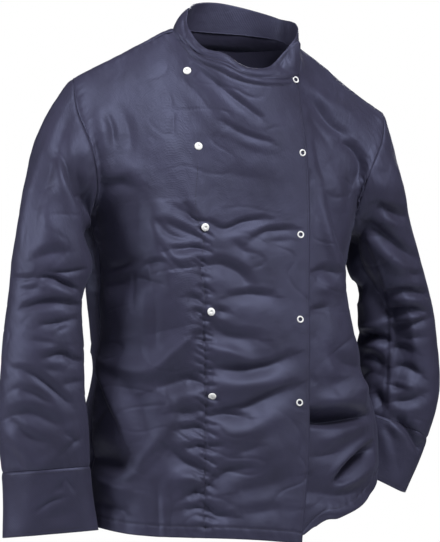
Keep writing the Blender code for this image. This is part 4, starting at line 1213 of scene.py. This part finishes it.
right_grid = moved(front, facing, right_depth)[:, :lap_end + 1]
left_grid = moved(front, facing, np.minimum(above, left_depth))[:, lap_start:]

back = refined(back_sheet(), ROW_STEPS, BACK_STEPS)
facing = normals(back)
back_folds = (BACK_FOLDS, REAR_VIEW), (HIP_FOLDS, LEFT_VIEW), (WAIST_RIGHT_FOLDS, RIGHT_VIEW)
back_depth = all_folds(back, facing, *back_folds) + rumpled(back)
back_depth += np.where(back[..., 0] < 0, fold_depths(back, facing, FRONT_RIGHT_FOLDS, FRONT_VIEW), 0)
back_grid = moved(back, facing, back_depth * armhole_fade(back, "left", "right"))

PANELS = (
    # node, grid, seams, stitched lines along its edges, stitched lines drawn on it
    ("front_right", right_grid, ("left", "top"), (LAP_LINE, HEM_LINE), (FACING_LINE[:-1], NECK_LINE)),
    ("front_left", left_grid, ("right", "top"), (HEM_LINE,), ()),
    ("back", back_grid, ("left", "right", "top"), (HEM_LINE,), ()),
)
for node, grid, seams, level_lines, drawn_lines in PANELS:
    grid = moved(grid, normals(grid), seam_dips(grid, seams) + hem_dips(grid))
    if node == "front_left":
        beyond = np.arange(grid.shape[1]) - (lap_end - lap_start)
        drawn_up = TUCK_SHARE * np.clip(1 - beyond / TUCK_ROWS, 0, 1)[:, None]
        grid[:TUCK_ROWS] += (grid[TUCK_ROWS] - grid[:TUCK_ROWS]) * drawn_up
    grid = set_back(grid, seams)
    facing = normals(grid)
    cloth(node, flanged(grid, facing, seams), WALL)
    lines = [level_line(grid, facing, edge, inset) for edge, inset in level_lines]
    if drawn_lines:
        tree = tree_of(pieces[node])
        lines += [drawn_line(tree, path, WALL) for path in drawn_lines]
    stitches(node, WALL, lines)

# ------------------------------------------------------------------ sleeves and cuffs
RIGHT_FOLDS = SLEEVE_RIGHT_FOLDS + CUFF_RIGHT_FOLDS
LEFT_FOLDS = SLEEVE_LEFT_FOLDS + CUFF_LEFT_FOLDS
# the folds beside the body, each table with its view
RIGHT_BESIDE = ((SLEEVE_LAP_FOLDS, LAP_VIEW), (SLEEVE_UNDER_FOLDS, UNDER_VIEW))
LEFT_BESIDE = ((SLEEVE_INNER_FOLDS, RIGHT_VIEW),)
SLEEVES = (
    # name, side, armhole, arm, drop, folds, folds beside the body, droop of the cuff
    ("right", -1, RIGHT_ARMHOLE, RIGHT_ARM, RIGHT_DROP, RIGHT_FOLDS, RIGHT_BESIDE, 0),
    ("left", 1, LEFT_ARMHOLE, LEFT_ARM, LEFT_DROP, LEFT_FOLDS, LEFT_BESIDE, LEFT_CUFF_DROOP),
)
for name, side, loop, arm, drop, folds, beside, droop in SLEEVES:
    sleeve, cuff = sleeve_sheet(loop, arm, side, drop)
    sleeve = refined(sleeve, SLEEVE_ROW_STEPS, SLEEVE_COLUMN_STEPS, True)
    cuff = refined(cuff, SLEEVE_ROW_STEPS, SLEEVE_COLUMN_STEPS, True)
    facing = normals(sleeve, True, side)
    rows = np.arange(len(sleeve))[:, None]
    depth = all_folds(sleeve, facing, (folds, FRONT_VIEW), (SLEEVE_REAR_FOLDS, REAR_VIEW)) + rumpled(sleeve)
    depth *= np.clip(rows / SLEEVE_FADE, 0, 1)
    depth += all_folds(sleeve, facing, *beside) * np.clip(rows / BESIDE_FADE, 0, 1)
    sleeve = moved(sleeve, facing, depth + seam_dips(sleeve, ("bottom", "top")))
    facing = normals(sleeve, True, side)
    cloth("sleeve_" + name, flanged(sleeve, facing, ("bottom", "top")), WALL, True, side)

    facing = normals(cuff, True, side)
    rows = np.arange(len(cuff))[:, None]
    stiff = 1 - CUFF_SOFTNESS * np.clip(rows / SLEEVE_ROW_STEPS, 0, 1)
    depth = stiff * rumpled(cuff) + fold_depths(cuff, facing, folds, FRONT_VIEW)
    hang = np.linspace(0, 1, len(cuff))[:, None, None] * (facing @ TOWARDS)[..., None]
    cuff = cuff + droop * hang * unit(cuff[-1:] - cuff[:1])
    depth += seam_dips(cuff, ("bottom",)) * CUFF_SEAM_SHARE
    cuff = moved(cuff, facing, depth)
    facing = normals(cuff, True, side)
    cloth("cuff_" + name, flanged(cuff, facing, ("bottom",)), DOUBLE_WALL, True, side)
    stitches("cuff_" + name, DOUBLE_WALL, [level_line(cuff, facing, *line) for line in CUFF_LINES])

# ------------------------------------------------------------------ collar band
collar, outwards, tucked = collar_sheet()
collar = refined(collar, COLLAR_ROW_STEPS, COLLAR_COLUMN_STEPS)
columns = np.linspace(0, len(outwards) - 1, collar.shape[1])
outwards, tucked = (spline(np.arange(len(given)), given, columns) for given in (outwards, tucked))
facing = normals(collar)
height, closeness = COLLAR_RUMPLE
depth = height * rumpled(collar * closeness) + fold_depths(collar, facing, COLLAR_FOLDS, FRONT_VIEW)
collar = moved(collar, facing, depth)
# both upper corners are rounded off
height = run_along(collar, 0)[-1]
share = run_along(collar, 0) / height
for from_end in (False, True):
    away = np.clip(run_along(collar, 1, from_end), 0, CORNER_RADIUS)
    cut = CORNER_RADIUS - np.sqrt(CORNER_RADIUS**2 - (CORNER_RADIUS - away) ** 2)
    collar = collar[0] + (collar - collar[0]) * (1 - share * cut / height)[..., None]
facing = normals(collar)
seam = [
    collar[0] + ((inwards + outwards_if_tucked) * tucked - inwards) * outwards - down * Z
    for down, inwards, outwards_if_tucked in COLLAR_SEAM
]
cloth("collar", np.concatenate([np.array(seam), collar]), DOUBLE_WALL)
stitches("collar", DOUBLE_WALL, [level_line(collar, facing, *line) for line in COLLAR_LINES])

# ------------------------------------------------------------------ press studs
# one row for each pair: the cap's place and the ring's
STUDS = np.array([
    # cap x, cap z, ring x, ring z
    (-81, -57, 79, -64),
    (-78, -167, 79, -170),
    (-75, -283, 72, -287),
    (-70, -403, 67, -408),
    (-69, -522, 64, -526),
])
STUD_LIFT = 0.05  # above the cloth
TURNS = 40
CAP_R = 5.7
CAP_H = 2.5
CAP_OUTLINE = np.array([
    # shares of its radius and height
    (0.0, 0.0), (0.9, 0.0), (0.985, 0.1), (1.0, 0.25), (0.97, 0.42), (0.88, 0.62), (0.7, 0.81), (0.45, 0.93),
    (0.40, 0.95), (0.34, 0.86), (0.27, 0.40), (0.0, 0.30),
]) * (CAP_R, CAP_H)
RING_R = 4.0
RING_T = 1.1
RING_SIDES = 14
RING_FLATNESS = 0.85
RING_TILT = 0.5  # how much a ring turns towards the three-quarter view
ring_turn = np.linspace(0, math.tau, RING_SIDES, endpoint=False)
RING_OUTLINE = np.stack([
    RING_R + RING_T * np.cos(ring_turn),
    RING_FLATNESS * RING_T * (1 + np.sin(ring_turn)),
], axis=-1)


def turned_piece(name, outline, closed, tree, x, z, tilt, node):
    """A round piece of plastic, its outline turned about the cloth's normal."""
    hit, normal, _, _ = tree.ray_cast(Vector((x * MM, -1.0, z * MM)), Vector((0.0, 1.0, 0.0)))
    normal = (normal + tilt * Vector(TOWARDS)).normalized()
    matrix = Matrix.Translation(hit) @ normal.to_track_quat("Z", "Y").to_matrix().to_4x4()
    vertices = [
        matrix @ (Vector((radius * math.cos(angle), radius * math.sin(angle), height + STUD_LIFT)) * MM)
        for angle in np.linspace(0, math.tau, TURNS, endpoint=False)
        for radius, height in outline
    ]
    faces = []
    count = len(outline)
    for k in range(TURNS):
        after = (k + 1) % TURNS
        for j in range(count if closed else count - 1):
            up = (j + 1) % count
            faces.append((k * count + j, after * count + j, after * count + up, k * count + up))
    made = smooth_mesh(name, [tuple(v) for v in vertices], faces, plastic)
    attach(made, "root")
    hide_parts(node)


tree = tree_of(pieces["front_right"])
for k, (cap_x, cap_z, ring_x, ring_z) in enumerate(STUDS, 1):
    turned_piece("cap_%d" % k, CAP_OUTLINE, False, tree, cap_x, cap_z, 0.0, "stud_cap_%d" % k)
    turned_piece("ring_%d" % k, RING_OUTLINE, True, tree, ring_x, ring_z, RING_TILT, "stud_ring_%d" % k)

# ------------------------------------------------------------------ studio
# in metres
FLOOR_Z = -1.2
FLOOR_RADIUS = 1.8
VIEW_DISTANCE = 30.0
FAR_LIMIT = 100.0
FRAME_HEIGHT = 0.7642  # what the picture's height shows
# in mm, and no size
FRAME_CENTRE = (-14.1, -331.4)  # across and up
SENSOR_WIDTH = 36.0
LIGHT_AIM = (0, -330, 0)
FLOOR_SIDES = 96
FLOOR_SHADE = (0.7, 0.7, 0.7, 1.0)
SOFTBOXES = (
    # name, across, up, towards, width in metres, power in watts
    ("left", -1950, 400, 1000, 1.3, 44),
    ("right", 1100, 1800, 1200, 1.0, 65),
    ("side", 2000, 600, 800, 1.0, 13),
    ("front", -300, 1000, 2100, 1.0, 5),
    ("behind", 450, 600, -2200, 1.3, 30),
)
WORLD_LIGHT = 0.014  # what the pale world sheds on the shirt
WORLD_SEEN = 1.0  # and how bright the camera sees it

bpy.ops.mesh.primitive_circle_add(
    vertices=FLOOR_SIDES, radius=FLOOR_RADIUS, fill_type="NGON", location=(0, 0, FLOOR_Z)
)
floor = bpy.context.object
floor.name = "floor"
pale, tree, shader = principled("floor_pale", 0.9)
fill(tree, shader, {"Base Color": FLOOR_SHADE})
floor.data.materials.append(pale)

for name, across, up, towards, width, power in SOFTBOXES:
    light = bpy.data.lights.new(name, "AREA")
    light.shape = "DISK"
    light.size = width
    light.energy = power
    softbox = linked(name, light)
    softbox.location = Vector(from_view(across, up, towards)) * MM
    aim = Vector(from_view(*LIGHT_AIM)) * MM - softbox.location
    softbox.rotation_mode = "QUATERNION"
    softbox.rotation_quaternion = aim.to_track_quat("-Z", "Y")

world = bpy.data.worlds.new("studio")
world.use_nodes = True
bpy.context.scene.world = world
tree = world.node_tree
rays = tree.nodes.new("ShaderNodeLightPath")
level = add(tree, "MapRange", {
    "Value": rays.outputs["Is Camera Ray"], "To Min": WORLD_LIGHT, "To Max": WORLD_SEEN,
})
fill(tree, tree.nodes["Background"], {"Color": (1, 1, 1, 1), "Strength": level.outputs["Result"]})
bpy.context.scene.view_settings.view_transform = "Standard"

camera_data = bpy.data.cameras.new("camera")
camera_data.sensor_width = SENSOR_WIDTH
camera_data.lens = SENSOR_WIDTH * VIEW_DISTANCE / FRAME_HEIGHT
camera_data.clip_end = FAR_LIMIT
camera_data.dof.use_dof = False
camera = linked("camera", camera_data)
turn = Matrix((ACROSS, UP, TOWARDS)).transposed().to_4x4()
target = Vector(from_view(*FRAME_CENTRE, 0)) * MM
camera.matrix_world = Matrix.Translation(target + Vector(TOWARDS) * VIEW_DISTANCE) @ turn
bpy.context.scene.camera = camera

bpy.context.view_layer.update()
